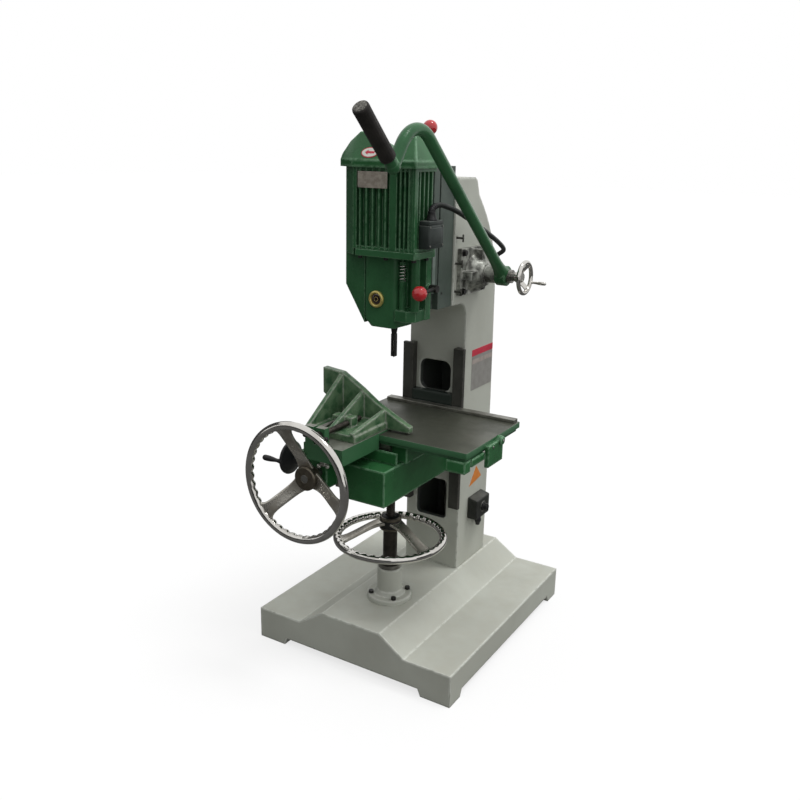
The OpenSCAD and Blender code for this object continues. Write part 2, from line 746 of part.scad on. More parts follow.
module table_brackets() color(green) {
    box([table_right - 60, table_front, table_low - 32], [table_right - 4, table_front + 32, table_low]);
    box([table_right - 16, table_front + 32 - e, table_low - 20], [table_right, -169, table_low]);
    box([table_right, -169, table_low - 43], [table_right + 12, -80, table_low + 18]);
    translate([table_right, -92, table_low + 17]) along_x() cylinder(d = 24, h = 12);
}

module back_fence() color(steel)
    box([table_left + 8, table_back - 26, table_z], [table_right - 8, table_back, table_z + 9]);

module clamp_bed() color(green) difference() {
    union() {
        box([bed_left, bed_front, bed_low], [bed_right, table_front, bed_top]);
        box([bed_left, table_front - 1, table_z], [bed_right, jaw_face + 65, bed_top]);
        for (x = [screw_line_x, guide_x])
            box([x - 14, bed_front, bed_top - 1], [x + 14, bed_front + nut_t, screw_line_z + 18]);
    }
    translate([screw_line_x, bed_front - 1, screw_line_z]) along_y()
        cylinder(d = clamp_screw_d + 2 * fit_gap, h = nut_t + 2);
    translate([guide_x, bed_front - 1, screw_line_z]) along_y() cylinder(d = guide_d + 0.1, h = nut_t + 2);
}

module table_wheel() color(chrome) translate([drive_x, drive_rim_y, drive_z]) along_y() rotate([0, 0, 15])
    handwheel(drive_wheel_r, rim_d, wheel_dish, 60, 34, shaft_d + 0.2, 38);

module table_pinion() color(steel) translate([drive_x, 0, drive_z]) {
    translate([0, hub_y - 15, 0]) along_y() cylinder(d = shaft_d, h = saddle_front + 28 - hub_y + 15);
    translate([0, hub_y + 18, 0]) along_y() cylinder(d = shaft_d + 6, h = apron_front - slide_gap - hub_y - 18);
    translate([0, rack_y + rack_t, 0]) rotate([90, 0, 0]) rotate([0, 0, 0])
        gear(table_m, table_teeth, rack_t, 0.1);
}

module clamp_jaw() color(green) difference() {
    z0 = bed_top + slide_gap;
    union() {
        front_slab(jaw_face - jaw_plate_t, jaw_face, [[-190, jaw_top - 74], [-190, jaw_top],
            [-125, jaw_top - 6], [-62, jaw_top - 42], [-8, jaw_top - 78], [60, jaw_top - 112],
            [100, jaw_top - 130], [100, z0], [-92, z0], [-150, z0 + 46]]);
        box([-140, jaw_foot_front, z0], [bed_right - 3, jaw_face - jaw_plate_t + 1, z0 + 19]);
        for (r = [[-134, 12], [-62, 50], [10, 92]]) side_slab(r[0], r[0] + 13, [
            [jaw_face - jaw_plate_t + 1, jaw_top - r[1]], [jaw_face - jaw_plate_t + 1, z0],
            [jaw_foot_front, z0], [jaw_foot_front, z0 + 26]]);
        for (x = [screw_line_x, guide_x])
            box([x - 14, jaw_boss_y, z0], [x + 14, jaw_boss_y + 30, screw_line_z + 16]);
    }
    translate([guide_x, jaw_boss_y - 1, screw_line_z]) along_y() cylinder(d = guide_d + 2 * fit_gap, h = 32);
    translate([screw_line_x, jaw_boss_y - 1, screw_line_z]) along_y()
        cylinder(d = clamp_screw_d + 2 * fit_gap, h = 32);
}

module clamp_guide() color(steel) translate([guide_x, bed_front + 1, screw_line_z]) along_y()
    cylinder(d = guide_d, h = clamp_end - bed_front - 1);

module clamp_screw() color(dark) difference() {
    translate([screw_line_x, 0, screw_line_z]) {
        translate([0, clamp_head_y, 0]) along_y() cylinder(d = 23, h = bed_front - slide_gap - clamp_head_y);
        translate([0, clamp_head_y + 10, 0]) along_y() cylinder(d = clamp_screw_d, h = clamp_end - clamp_head_y - 10);
        translate([0, bed_front + nut_t + slide_gap, 0]) along_y() cylinder(d = 24, h = 7);
    }
    translate([screw_line_x - 20, clamp_head_y + 8, screw_line_z]) along_x() cylinder(d = 8.2, h = 40);
}

module clamp_bar() color(black) translate([screw_line_x - 34, clamp_head_y + 8, screw_line_z]) along_x() {
    cylinder(d = 8, h = 68);
    sphere(d = 13, $fn = 32);
    translate([0, 0, 68]) sphere(d = 13, $fn = 32);
}

module head_slide() color(dark) difference() {
    union() {
        box([-slide_half, -slide_t, slide_low], [slide_half, -slide_gap, slide_top]);
        box([-slide_half + 20, -slide_neck, slide_low], [slide_half - 20, -slide_t + 1, slide_top]);
        box([-slide_half, -slide_flange, slide_low + 50], [slide_half, -slide_neck, slide_top]);
        translate([0, 0, slide_low]) linear_extrude(height = slide_top - slide_low) polygon([
            [-groove_half, -1], [groove_half, -1], [groove_half, 0],
            [dove(groove_depth - 1), groove_depth - 1], [-dove(groove_depth - 1), groove_depth - 1],
            [-groove_half, 0]]);
        for (x = [lock_pivot[0] - lock_half - 9, lock_pivot[0] + lock_half])
            box([x, lock_pivot[1] - 12, slide_top - 1], [x + 9, lock_pivot[1] + 12, lock_pivot[2] + 12]);
    }
    translate([lock_pivot[0] - lock_half - 8, lock_pivot[1], lock_pivot[2]]) along_x()
        cylinder(d = 8 + 2 * fit_gap, h = 2 * lock_half + 16);
    box([-rack_half - 0.2, 8, slide_low - 1], [rack_half + 0.2, groove_depth, slide_top + 1]);
}

module head_rack() color(steel) side_slab(-rack_half, rack_half, [
    for (p = rack_line_points(feed_m, -42, 102, rack_line - 8)) [rack_line + p[1], lever_z + p[0]]]);

// Casting on the left of the head, slanted at its lower end and set back below the motor
module head_casting() color(green) intersection() {
    union() {
        translate([0, 0, box_low]) linear_extrude(height = flange_z - box_low + 1) polygon([
            [cheek_left, tool_y - 34], [box_left - 0.3, tool_y - 37],
            [box_left - 0.3, head_back], [cheek_left, head_back]]);
        translate([0, 0, flange_z]) linear_extrude(height = cowl_low - flange_z) polygon([
            [cheek_left, tool_y - 34], [-motor_half - 3, motor_front + 4], [-motor_half - 0.3, motor_front + 4],
            [-motor_half - 0.3, head_back], [cheek_left, head_back]]);
    }
    front_slab(motor_front, head_back + 1, [[cheek_left, cowl_low], [-motor_half - 0.3, cowl_low],
        [-motor_half - 0.3, flange_z], [flange_left - 0.3, flange_z], [box_left - 0.3, flange_z],
        [box_left - 0.3, box_low + 6], [cheek_left, box_low + 108]]);
}

module motor_housing() color(green) difference() {
    core = 14;
    union() {
        box([-motor_half, motor_front + fin_depth, motor_low], [motor_half - core, motor_back, cowl_low]);
        for (x = concat([for (i = [0:4]) -76 + 20 * i], [for (i = [0:2]) 50 + 13 * i]))
            box([x, motor_front, motor_low], [x + fin_t, motor_front + fin_depth + 1, cowl_low]);
        for (x = [[-motor_half, -motor_half + 10], [18, 40], [motor_half - 8, motor_half]])
            box([x[0], motor_front + 2, motor_low], [x[1], motor_front + fin_depth + 1, cowl_low]);
        for (i = [0:4]) box([motor_half - core - 1, motor_front + 4 + 21 * i, motor_low],
            [motor_half, motor_front + 4 + 21 * i + fin_t, cowl_low]);
        box([-motor_half, motor_front + 4, motor_low], [motor_half, motor_back, motor_low + 8]);
        box([-motor_half, motor_front + 4, cowl_low - 8], [motor_half, motor_back, cowl_low]);
    }
    translate([0, tool_y, motor_low - 1]) cylinder(r = stator_r + 0.3, h = cowl_low - motor_low + 2);
}

module stator() color(steel) translate([0, tool_y, motor_low + 35])
    tube(2 * stator_r, 2 * stator_bore, 120);

// One roof of the cowl over its brim; each step is a block [x0, x1, y0, y1, top] under the roof
module cowl_roof(x0, x1, corner, steps, inset) {
    front = motor_front - brim_out + inset;
    back = head_back - inset;
    floor_z = cowl_low + (inset > 0 ? cowl_t : 0);
    hull() {
        translate([0, 0, floor_z]) linear_extrude(height = brim_h - inset) polygon([
            [x0 + inset, corner ? tool_y - 38 + inset : front], [corner ? -motor_half : x0 + inset, front],
            [x1 - inset, front], [x1 - inset, back], [x0 + inset, back]]);
        for (s = steps) box([s[0] + inset, s[2] + inset, floor_z], [s[1] - inset, s[3] - inset, s[4] - 1.5 * inset]);
    }
}

module fan_cowl() color(green) {
    left_x = cheek_left - brim_left;
    high = peak_left_z;
    left = [[left_x, left_x + 40, tool_y - 28, motor_back, high - 57],
        [left_x + 25, left_x + 70, tool_y - 26, motor_back - 10, high - 25],
        [left_x + 57, left_x + 76, tool_y - 25, tool_y - 5, high]];
    right = [[50, 58, tool_y - 4, tool_y + 4, peak_right_z]];
    difference() {
        union() {
            cowl_roof(left_x, valley_x, true, left, 0);
            cowl_roof(valley_x - 1, motor_half + brim_out, false, right, 0);
        }
        cowl_roof(left_x, valley_x, true, left, cowl_t);
        cowl_roof(valley_x - 2 * cowl_t - 1, motor_half + brim_out, false, right, cowl_t);
        translate([0, tool_y, cowl_low - 1]) cylinder(r = stator_r, h = cowl_t + 3);
    }
}

module flange_bolts() color(dark) for (p = [[-77, motor_front + 9], [5, motor_front + 9], [92, motor_front + 9], [92, tool_y + 8]])
    translate([p[0], p[1], flange_z]) rotate([180, 0, 0]) cylinder(d = bolt_head - 3, h = 8, $fn = 6);

module lower_housing() color(green) difference() {
    r = 16;
    union() {
        box([flange_left, motor_front - 4, flange_z], [100, motor_back - 4, motor_low]);
        hull() {
            for (x = [box_left + r, box_right - r]) translate([x, box_front + r, box_low + box_cut])
                cylinder(r = r, h = flange_z - box_low - box_cut + 1, $fn = 32);
            for (x = [box_left + r + box_cut, box_right - r - 4]) translate([x, box_front + r, box_low])
                cylinder(r = r, h = box_cut, $fn = 32);
            box([box_left, motor_back - 24, box_low + box_cut], [box_right, motor_back, flange_z + 1]);
            box([box_left + box_cut, motor_back - 24, box_low], [box_right, motor_back, flange_z]);
        }
        box([box_right - 1, tool_y + 18, box_low + 22], [motor_half - 8, motor_back, flange_z + 1]);
        translate([0, 0, box_low + 22]) linear_extrude(height = 30) polygon([[box_right - 1, box_front],
            [post_x - 16, box_front], [post_x + 4, post_y - 2], [post_x + 4, motor_back], [box_right - 1, motor_back]]);
        translate([post_x, post_y, box_low + 51]) cylinder(d = 24, h = flange_z - box_low - 50);
        translate([spring_x, spring_y, box_low + 51]) cylinder(d = 7, h = flange_z - box_low - 50);
        translate([spring_x, spring_y, box_low + 51]) cylinder(d = 16, h = spring_seat - box_low - 51);
        translate([spring_x, spring_y, spring_top + slide_gap]) cylinder(d = 16, h = 9);
        translate([mode_x - 14, mode_y, mode_z]) along_x() cylinder(d = 24, h = 14);
    }
    translate([mode_x - 30, mode_y, mode_z]) along_x() cylinder(d = 10 + 2 * fit_gap, h = 31);
    translate([0, tool_y, box_low - 1]) cylinder(d = shank_d + 0.2, h = chisel_seat + 1);
    translate([0, tool_y, box_low + chisel_seat - 1]) cylinder(d = spindle_d + 4, h = motor_low - box_low);
    for (z = bearing_z) translate([0, tool_y, z - 0.2]) cylinder(d = bearing_d + 0.2, h = 14.4);
}

module oil_sight() color(brass) translate([-30, box_front, 1055]) rotate([90, 0, 0]) difference() {
    cylinder(d = 47, h = 8);
    translate([0, 0, 4]) cylinder(d = 31, h = 5);
}

module terminal_box() color(dark) {
    box([motor_half, motor_front + 21, 1200], [128, motor_back - 9, 1272]);
    translate([112, -165, 1272 - e]) cylinder(d = 24, h = 12, $fn = 6);
    translate([112, -165, 1284 - e]) cylinder(d = 20, h = lead_route[0][2] - 1284 + e);
}

module head_plates() color(steel)
    box([-80, motor_front - 1.5, cowl_low - 52], [12, motor_front, cowl_low - 10]);

module spindle_bearings() color(steel) for (z = bearing_z) translate([0, tool_y, z])
    tube(bearing_d, spindle_d + 2 * fit_gap, 14);

module hollow_chisel() color(dark) translate([0, tool_y, 0]) difference() {
    union() {
        translate([0, 0, box_low - 1]) cylinder(d = shank_d, h = chisel_seat);
        translate([0, 0, box_low - 24]) cylinder(d1 = chisel_w + 1, d2 = shank_d + 2, h = 24);
        translate([-chisel_w / 2, -chisel_w / 2, chisel_tip]) cube([chisel_w, chisel_w, box_low - 23 - chisel_tip]);
    }
    translate([0, 0, chisel_tip - 1]) cylinder(d = chisel_bore, h = 200);
    translate([0, 0, chisel_tip - e]) cylinder(d1 = chisel_w - 0.6, d2 = chisel_bore, h = 4);
    box([-3, -chisel_w, chisel_tip + 14], [3, 0, chisel_tip + 46]);
}

// Visible compression spring, one unbroken wire
module latch_spring() color(chrome) {
    per_turn = 8;
    coil = [for (i = [0:spring_turns * per_turn]) let (a = 360 * i / per_turn)
        [spring_x + spring_r * cos(a), spring_y + spring_r * sin(a),
            spring_low + spring_wire + spring_pitch * i / per_turn]];
    gap = min([for (i = [0:len(coil) - 1 - per_turn / 2]) for (j = [i + per_turn / 2:len(coil) - 1])
        norm(coil[j] - coil[i])]) - spring_wire;
    echo("latch spring, least gap between its turns in mm", gap);
    swept(coil, spring_wire, 6);
}

module rotor() color(steel) translate([0, tool_y, 0]) difference() {
    union() {
        translate([0, 0, spindle_low]) cylinder(d = spindle_d, h = cowl_low + 18 - spindle_low);
        translate([0, 0, motor_low + 45]) cylinder(r = rotor_r, h = 100);
    }
    translate([0, 0, spindle_low - 1]) cylinder(d = auger_d + 0.2, h = 31);
}

module cooling_fan() color(dark) translate([0, tool_y, cowl_low + 5]) difference() {
    union() {
        cylinder(d = 30, h = 9);
        cylinder(r = fan_r, h = 2);
        for (a = [0:45:315]) rotate([0, 0, a]) translate([12, -1, 0]) cube([fan_r - 12, 2, 9]);
    }
    translate([0, 0, -1]) cylinder(d = spindle_d + 0.2, h = 17);
}

module auger_bit() color(steel) translate([0, tool_y, 0]) {
    translate([0, 0, chisel_tip]) cylinder(d = auger_d, h = spindle_low + 28 - chisel_tip);
    translate([0, 0, chisel_tip - 4]) cylinder(d1 = 1, d2 = auger_d, h = 4 + e);
}

module mode_lever() color(red) {
    x = mode_x + 14;
    translate([mode_x - 26, mode_y, mode_z]) along_x() cylinder(d = 10, h = 28);
    translate([mode_x + slide_gap, mode_y, mode_z]) along_x() cylinder(d = 22, h = 24);
    rod([x, mode_y, mode_z], [x + 8, motor_front + 12, mode_z], 10);
    translate([x + 9, motor_front, mode_z]) sphere(d = knob_d);
}

module slide_lock() color(red) translate(lock_pivot) {
    translate([-lock_half + slide_gap, 0, 0]) along_x() cylinder(d = 20, h = 2 * (lock_half - slide_gap));
    translate([-lock_half - 7, 0, 0]) along_x() cylinder(d = 8, h = 2 * lock_half + 14);
    cylinder(d = 11, h = 70);
    translate([0, 0, 85]) sphere(d = knob_d);
}

// Straight round rod between two points
module rod(p, q, d) {
    v = q - p;
    translate(p) rotate([0, acos(v[2] / norm(v)), atan2(v[1], v[0])]) cylinder(d = d, h = norm(v));
}

// The lever's pipe lies in a plane across X: a long arm, a round bend, a short arm and the grip
arm_way = unit([lever_y, lever_z] - lever_top);
short_way = unit(lever_end - lever_top);
half_bend = acos(arm_way * short_way) / 2;
bend_reach = bend_r / tan(half_bend);
bend_middle = lever_top + unit(arm_way + short_way) * bend_r / sin(half_bend);
bend_start = lever_top + bend_reach * arm_way;
bend_end = lever_top + bend_reach * short_way;
function in_lever(p) = [lever_x, p[0], p[1]];

module feed_lever() color(green) difference() {
    from = bend_start - bend_middle;
    union() {
        translate([lever_x - hub_w / 2, lever_y, lever_z]) along_x() cylinder(d = lever_hub_d, h = hub_w);
        rod(in_lever([lever_y, lever_z]), in_lever(bend_start - 3 * arm_way), lever_d);
        translate(in_lever(bend_middle)) rotate([90, 0, 90]) rotate([0, 0, atan2(from[1], from[0])])
            rotate_extrude(angle = 180 - 2 * half_bend) translate([bend_r, 0]) circle(d = lever_d + 0.6);
        rod(in_lever(bend_end - 3 * short_way), in_lever(lever_end), lever_d);
        translate(in_lever(lever_end)) sphere(d = lever_d + 2);
        rod(in_lever(lever_end), in_lever(lever_end) + grip_start * grip_way, lever_d);
    }
    translate([lever_x - hub_w, lever_y, lever_z]) along_x() cylinder(d = feed_shaft_d + 0.2, h = 2 * hub_w);
}

module lever_grip() color(black)
    rod(in_lever(lever_end) + grip_start * grip_way, in_lever(lever_end) + grip_end * grip_way, grip_d);

module feed_pinion() color(steel) translate([0, lever_y, lever_z]) {
    translate([-col_half + 1, 0, 0]) along_x() cylinder(d = feed_shaft_d, h = lever_wheel_x + col_half - 7);
    translate([-rack_half, 0, 0]) rotate([90, 0, 90]) gear(feed_m, feed_teeth, 2 * rack_half, 0.1);
    translate([lever_x + hub_w / 2 + 0.1, 0, 0]) along_x() cylinder(d = feed_shaft_d + 13, h = 14);
}

module lever_wheel() color(chrome) translate([lever_wheel_x, lever_y, lever_z]) rotate([0, -90, 0]) {
    small_wheel(feed_shaft_d + 2 * fit_gap);
    rotate([0, 0, 24]) translate([0, small_wheel_r - 6, -48]) cylinder(d1 = 10, d2 = 7, h = 44);
}

module motor_lead() color(black) swept(lead_route, lead_d, 10);

base_casting();
column_casting();
rear_cover();
way_rails();
pedestal();
thrust_bearing();
pinion_bracket();
frame_bolts();
head_gib();
gib_screws();
switch_box();
cable_glands();
label_plates();
switch_knob();
elevating_wheel();
nut_sleeve();
knee_casting();
knee_keepers();
elevating_screw();
cross_rack();
saddle();
cross_shaft();
cross_wheel();
cross_handle();
table_lock();
table_plate();
table_rack();
table_brackets();
back_fence();
clamp_bed();
table_wheel();
table_pinion();
clamp_jaw();
clamp_guide();
clamp_screw();
clamp_bar();
head_slide();
head_rack();
head_casting();
motor_housing();
stator();
fan_cowl();
flange_bolts();
lower_housing();
oil_sight();
terminal_box();
head_plates();
spindle_bearings();
hollow_chisel();
latch_spring();
rotor();
cooling_fan();
auger_bit();
mode_lever();
slide_lock();
feed_lever();
lever_grip();
feed_pinion();
lever_wheel();
motor_lead();
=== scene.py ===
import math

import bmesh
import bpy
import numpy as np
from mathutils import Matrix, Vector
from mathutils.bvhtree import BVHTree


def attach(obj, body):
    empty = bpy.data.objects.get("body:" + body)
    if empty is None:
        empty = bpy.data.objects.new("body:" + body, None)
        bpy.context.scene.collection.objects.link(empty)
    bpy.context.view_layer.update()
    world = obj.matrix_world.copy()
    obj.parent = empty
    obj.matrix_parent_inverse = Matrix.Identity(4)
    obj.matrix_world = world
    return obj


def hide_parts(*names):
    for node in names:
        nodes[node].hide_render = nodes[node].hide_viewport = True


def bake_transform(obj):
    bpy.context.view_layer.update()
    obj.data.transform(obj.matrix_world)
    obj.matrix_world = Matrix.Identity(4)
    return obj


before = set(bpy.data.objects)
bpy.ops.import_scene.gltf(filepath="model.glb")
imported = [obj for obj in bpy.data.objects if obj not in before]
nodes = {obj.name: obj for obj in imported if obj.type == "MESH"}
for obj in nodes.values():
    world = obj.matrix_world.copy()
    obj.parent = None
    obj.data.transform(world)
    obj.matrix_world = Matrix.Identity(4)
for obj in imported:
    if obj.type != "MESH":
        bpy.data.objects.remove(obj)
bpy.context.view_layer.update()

# %% [markdown]
# # A column mortising machine
#
# The machine comes in as 60 solid parts that are already the right size and in the right place.
# This lesson dresses them: paint, ground iron, chrome and rubber, and new surfaces for the parts
# whose real form is softer or finer than a plain solid. Everything is in metres, +Z is up, +X is the
# operator's right and the column stands towards +Y.

TURN = 2 * math.pi
X, Y, Z = np.eye(3)


def tone(r, g, b):
    """A screen colour, 0 to 255, as the linear colour that a shader wants."""
    c = np.array([r, g, b]) / 255
    return tuple(np.where(c > 0.04045, ((c + 0.055) / 1.055) ** 2.4, c / 12.92)) + (1.0,)


# %% [markdown]
# ## The camera
# The camera's place and lens were fitted to the photograph from the edges of the base and the column.
# Its three axes are written as unit vectors: back points out of the picture towards the viewer,
# and right and up are turned by the small roll of the hand-held camera.

# %% Camera
turn, tilt, roll = (math.radians(v) for v in (31.44, 16.433, 1.138))
EYE = np.array([1.25127, -2.1686, 1.46015])
PIXELS_PER_LENS = 865.81
PICTURE = 800
back = np.array([math.sin(turn) * math.cos(tilt), -math.cos(turn) * math.cos(tilt), math.sin(tilt)])
level = np.array([math.cos(turn), math.sin(turn), 0.0])
upright = np.cross(back, level)
right = math.cos(roll) * level + math.sin(roll) * upright
up = math.cos(roll) * upright - math.sin(roll) * level

lens = bpy.data.cameras.new("camera")
lens.sensor_width = 36.0
lens.lens = lens.sensor_width * PIXELS_PER_LENS / PICTURE
lens.clip_start, lens.clip_end = 0.05, 100.0
camera = bpy.data.objects.new("camera", lens)
camera.matrix_world = Matrix([[right[i], up[i], back[i], EYE[i]] for i in range(3)] + [[0, 0, 0, 1]])
bpy.context.scene.collection.objects.link(camera)
bpy.context.scene.camera = camera


def where_seen(column, row, node):
    """Point and outward normal of a CAD node where the ray through that pixel of the picture meets it."""
    across, down = column - PICTURE / 2, row - PICTURE / 2
    way = Vector(right * across / PIXELS_PER_LENS - up * down / PIXELS_PER_LENS - back)
    mesh = nodes[node].data
    tree = BVHTree.FromPolygons([v.co for v in mesh.vertices], [p.vertices[:] for p in mesh.polygons])
    point, normal, _, _ = tree.ray_cast(Vector(EYE), way.normalized())
    return point, normal if normal.dot(way) < 0 else -normal


print("lens in mm:", round(lens.lens, 2))

# %% [markdown]
# ## A way to make surfaces
# A surface here is a grid of points: one parameter runs along a path or a profile, the other runs
# round it. The whole grid is one numpy array, so a wheel rim with forty finger grips is a single
# formula. Modelling such a rim by hand would need a boolean for each grip.

# %% From grids of points to a piece that rides on the machine
def grid_faces(rows, columns, wrap_rows, wrap_columns, first):
    """Quads between neighbours of a grid, with indices that start at first."""
    i, j = np.meshgrid(np.arange(rows - (not wrap_rows)), np.arange(columns - (not wrap_columns)),
                       indexing="ij")
    a, b = i * columns + j, i * columns + (j + 1) % columns
    c, d = (i + 1) % rows * columns + (j + 1) % columns, (i + 1) % rows * columns + j
    return (np.stack([a, b, c, d], -1).reshape(-1, 4) + first).tolist()


def cleaned(mesh, sharp, near=1e-6, merge_flats=False):
    """Joins doubled points, turns the faces outward and shades smooth up to the angle in degrees."""
    work = bmesh.new()
    work.from_mesh(mesh)
    bmesh.ops.remove_doubles(work, verts=work.verts, dist=near)
    if merge_flats:
        bmesh.ops.dissolve_limit(work, angle_limit=math.radians(0.5), verts=work.verts, edges=work.edges)
    bmesh.ops.recalc_face_normals(work, faces=work.faces)
    work.to_mesh(mesh)
    work.free()
    mesh.polygons.foreach_set("use_smooth", np.ones(len(mesh.polygons), bool))
    mesh.set_sharp_from_angle(angle=math.radians(sharp))


def dressed(name, mesh, coat_of, body, replaces=()):
    """Object in its finish that rides on its body."""
    made = bpy.data.objects.new(name, mesh)
    bpy.context.scene.collection.objects.link(made)
    mesh.materials.clear()
    mesh.materials.append(coat_of)
    if body:
        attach(made, body)
    if replaces:
        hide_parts(*replaces)
    print(name, len(mesh.polygons), "faces")
    return made


def piece(name, grids, coat_of, body, replaces=(), sharp=35):
    """One object from several grids. A grid is (points, wraps along, wraps round, has end caps)."""
    points, faces, first = [], [], 0
    for grid, wrap_rows, wrap_columns, capped in grids:
        rows, columns = grid.shape[:2]
        faces += grid_faces(rows, columns, wrap_rows, wrap_columns, first)
        if capped:
            last = first + (rows - 1) * columns
            faces += [list(range(first, first + columns)), list(range(last + columns - 1, last - 1, -1))]
        points.append(grid.reshape(-1, 3))
        first += rows * columns
    mesh = bpy.data.meshes.new(name)
    mesh.from_pydata(np.concatenate(points).tolist(), [], faces)
    cleaned(mesh, sharp)
    return dressed(name, mesh, coat_of, body, replaces)


def unit(v):
    """Vectors brought to length one."""
    v = np.array(v, float)
    return v / np.linalg.norm(v, axis=-1, keepdims=True)


def basis(direction, hint=None):
    """Three unit vectors as rows: two across the direction, and the direction itself. The first is square
    to the hint, which is Z, or X for an upright direction, unless another is given."""
    w = unit(direction)
    u = unit(np.cross((X if abs(w[2]) > 0.9 else Z) if hint is None else hint, w))
    return np.array([u, np.cross(w, u), w])


def round_points(r, a, h, start=(0, 0, 0), direction=Z, hint=Y):
    """Points at radius r, angle a and height h of an axis that begins at start."""
    local = np.stack([r * np.cos(a), r * np.sin(a), h + 0 * a], -1)
    return np.array(start, float) + local @ basis(direction, hint)


def mm(*flat):
    """A profile from its radii and heights in millimetres, given in turn."""
    return (np.array(flat) / 1000).reshape(-1, 2).tolist()


def half_circle(radius, start=0.0, count=20):
    """Profile of a ball, from an angle off its lower pole up to its upper pole."""
    t = np.linspace(start, math.pi, count)
    return list(zip(radius * np.sin(t), -radius * np.cos(t)))


def turned(profile, start, direction, steps=64, hint=None, ring=False):
    """Surface of revolution: a profile of (radius, height) pairs carried once round an axis. A ring's
    profile is closed."""
    r, h = np.array(profile, float).T[..., None]
    a = np.linspace(0, TURN, steps, endpoint=False)
    return round_points(r, a, h, start, direction, hint), ring, True, False


def swept(path, radius, steps=20, hint=Z):
    """Round tube: a circle of the given radius, which may change along the way, carried along a path."""
    path = np.array(path, float)
    ahead = unit(np.gradient(path, axis=0))
    u = unit(np.cross(hint, ahead))
    w = np.cross(ahead, u)
    a = np.linspace(0, TURN, steps, endpoint=False)[None, :, None]
    r = np.broadcast_to(radius, len(path))[:, None, None]
    return path[:, None] + r * (np.cos(a) * u[:, None] + np.sin(a) * w[:, None]), False, True, True


def eased(points, per_span=8):
    """Smooth curve through the points: a Catmull-Rom cubic on each span, all spans at once."""
    p = np.array(points, float)
    p = np.concatenate([2 * p[:1] - p[1:2], p, 2 * p[-1:] - p[-2:-1]])
    t = np.linspace(0, 1, per_span, endpoint=False)[None, :, None]
    a, b, c, d = (p[k:len(p) - 3 + k][:, None] for k in range(4))
    curve = 0.5 * (2 * b + (c - a) * t + (2 * a - 5 * b + 4 * c - d) * t**2 + (3 * b - a - 3 * c + d) * t**3)
    return np.concatenate([curve.reshape(-1, 3), p[-2:-1]])


def slab(outline, thickness, centre, normal, upward, rounding=0.0):
    """Flat plate: an outline of (across, up) points pushed out along the normal from where it sits."""
    u, v, w = basis(normal, upward)
    flat = np.array(outline, float)
    shrink = 1 - rounding / np.abs(flat).max()
    levels = [(1.0, 0.0), (1.0, thickness - rounding), (shrink, thickness)]
    rings = [np.array(centre) + k * flat[:, :1] * u + k * flat[:, 1:] * v + h * w for k, h in levels]
    return np.stack(rings), False, True, True


def stacked(flat, levels, middle):
    """An outline carried up: each level is (height, how far the outline is drawn in there)."""
    size = np.ptp(flat, axis=0)
    rings = [np.column_stack([flat * (1 - 2 * g / size), np.full(len(flat), z)]) for z, g in levels]
    return np.stack(rings) + np.array(middle, float), False, True, True


print("tools ready")

# %% [markdown]
# ## Finishes
# Effects that several finishes share are shader node groups, each made once. They read Object
# coordinates, so a pattern keeps its real size on every part: rounded edges with a pale tone, which is
# wear on some finishes and a painted highlight on others; two tones of the same coat; fine relief; dust
# that lies on upward faces. Image textures could do this too, but they would need unwrapping and would blur
# up close.

# %% Node group helpers
def add(tree, kind, inputs=None, **settings):
    """A node with its settings made, and its inputs set to values or linked from sockets."""
    node = tree.nodes.new(kind)
    for key, value in settings.items():
        setattr(node, key, value)
    for key, value in (inputs or {}).items():
        if isinstance(value, bpy.types.NodeSocket):
            tree.links.new(value, node.inputs[key])
        else:
            node.inputs[key].default_value = value
    return node


def new_group(name, inputs, outputs):
    """An empty node group with named sockets. An input is (name, kind, default value)."""
    tree = bpy.data.node_groups.new(name, "ShaderNodeTree")
    for label, kind, value in inputs:
        tree.interface.new_socket(label, in_out="INPUT", socket_type=kind).default_value = value
    for label, kind in outputs:
        tree.interface.new_socket(label, in_out="OUTPUT", socket_type=kind)
    return tree, tree.nodes.new("NodeGroupInput").outputs, tree.nodes.new("NodeGroupOutput").inputs


def maths(tree, operation, a, b=0.0, clamp=False):
    return add(tree, "ShaderNodeMath", {0: a, 1: b}, operation=operation, use_clamp=clamp).outputs[0]


def ramp(tree, value, low, high, to_low=0.0, to_high=1.0):
    """A value remapped smoothly from low..high to to_low..to_high."""
    return add(tree, "ShaderNodeMapRange", {0: value, 1: low, 2: high, 3: to_low, 4: to_high},
               interpolation_type="SMOOTHSTEP").outputs[0]


def noise(tree, vector, scale, detail=4.0, rough=0.55):
    return add(tree, "ShaderNodeTexNoise", {"Vector": vector, "Scale": scale, "Detail": detail,
                                             "Roughness": rough}).outputs["Fac"]


def parts_of(tree, kind, output):
    """X, Y and Z of a vector that a node puts out, such as a place or a normal."""
    return add(tree, "ShaderNodeSeparateXYZ", {0: add(tree, kind).outputs[output]}).outputs


def product(tree, *factors):
    """All factors multiplied, from the first on."""
    total = factors[0]
    for factor in factors[1:]:
        total = maths(tree, "MULTIPLY", total, factor)
    return total


def blend_of(tree, mask, under, over):
    """Two colours mixed: under where the mask is 0, over where it is 1."""
    return add(tree, "ShaderNodeMix", {"Factor": mask, 6: under, 7: over}, data_type="RGBA").outputs[2]


FLOAT, VECTOR, COLOR = "NodeSocketFloat", "NodeSocketVector", "NodeSocketColor"
GREY = (0.5, 0.5, 0.5, 1.0)
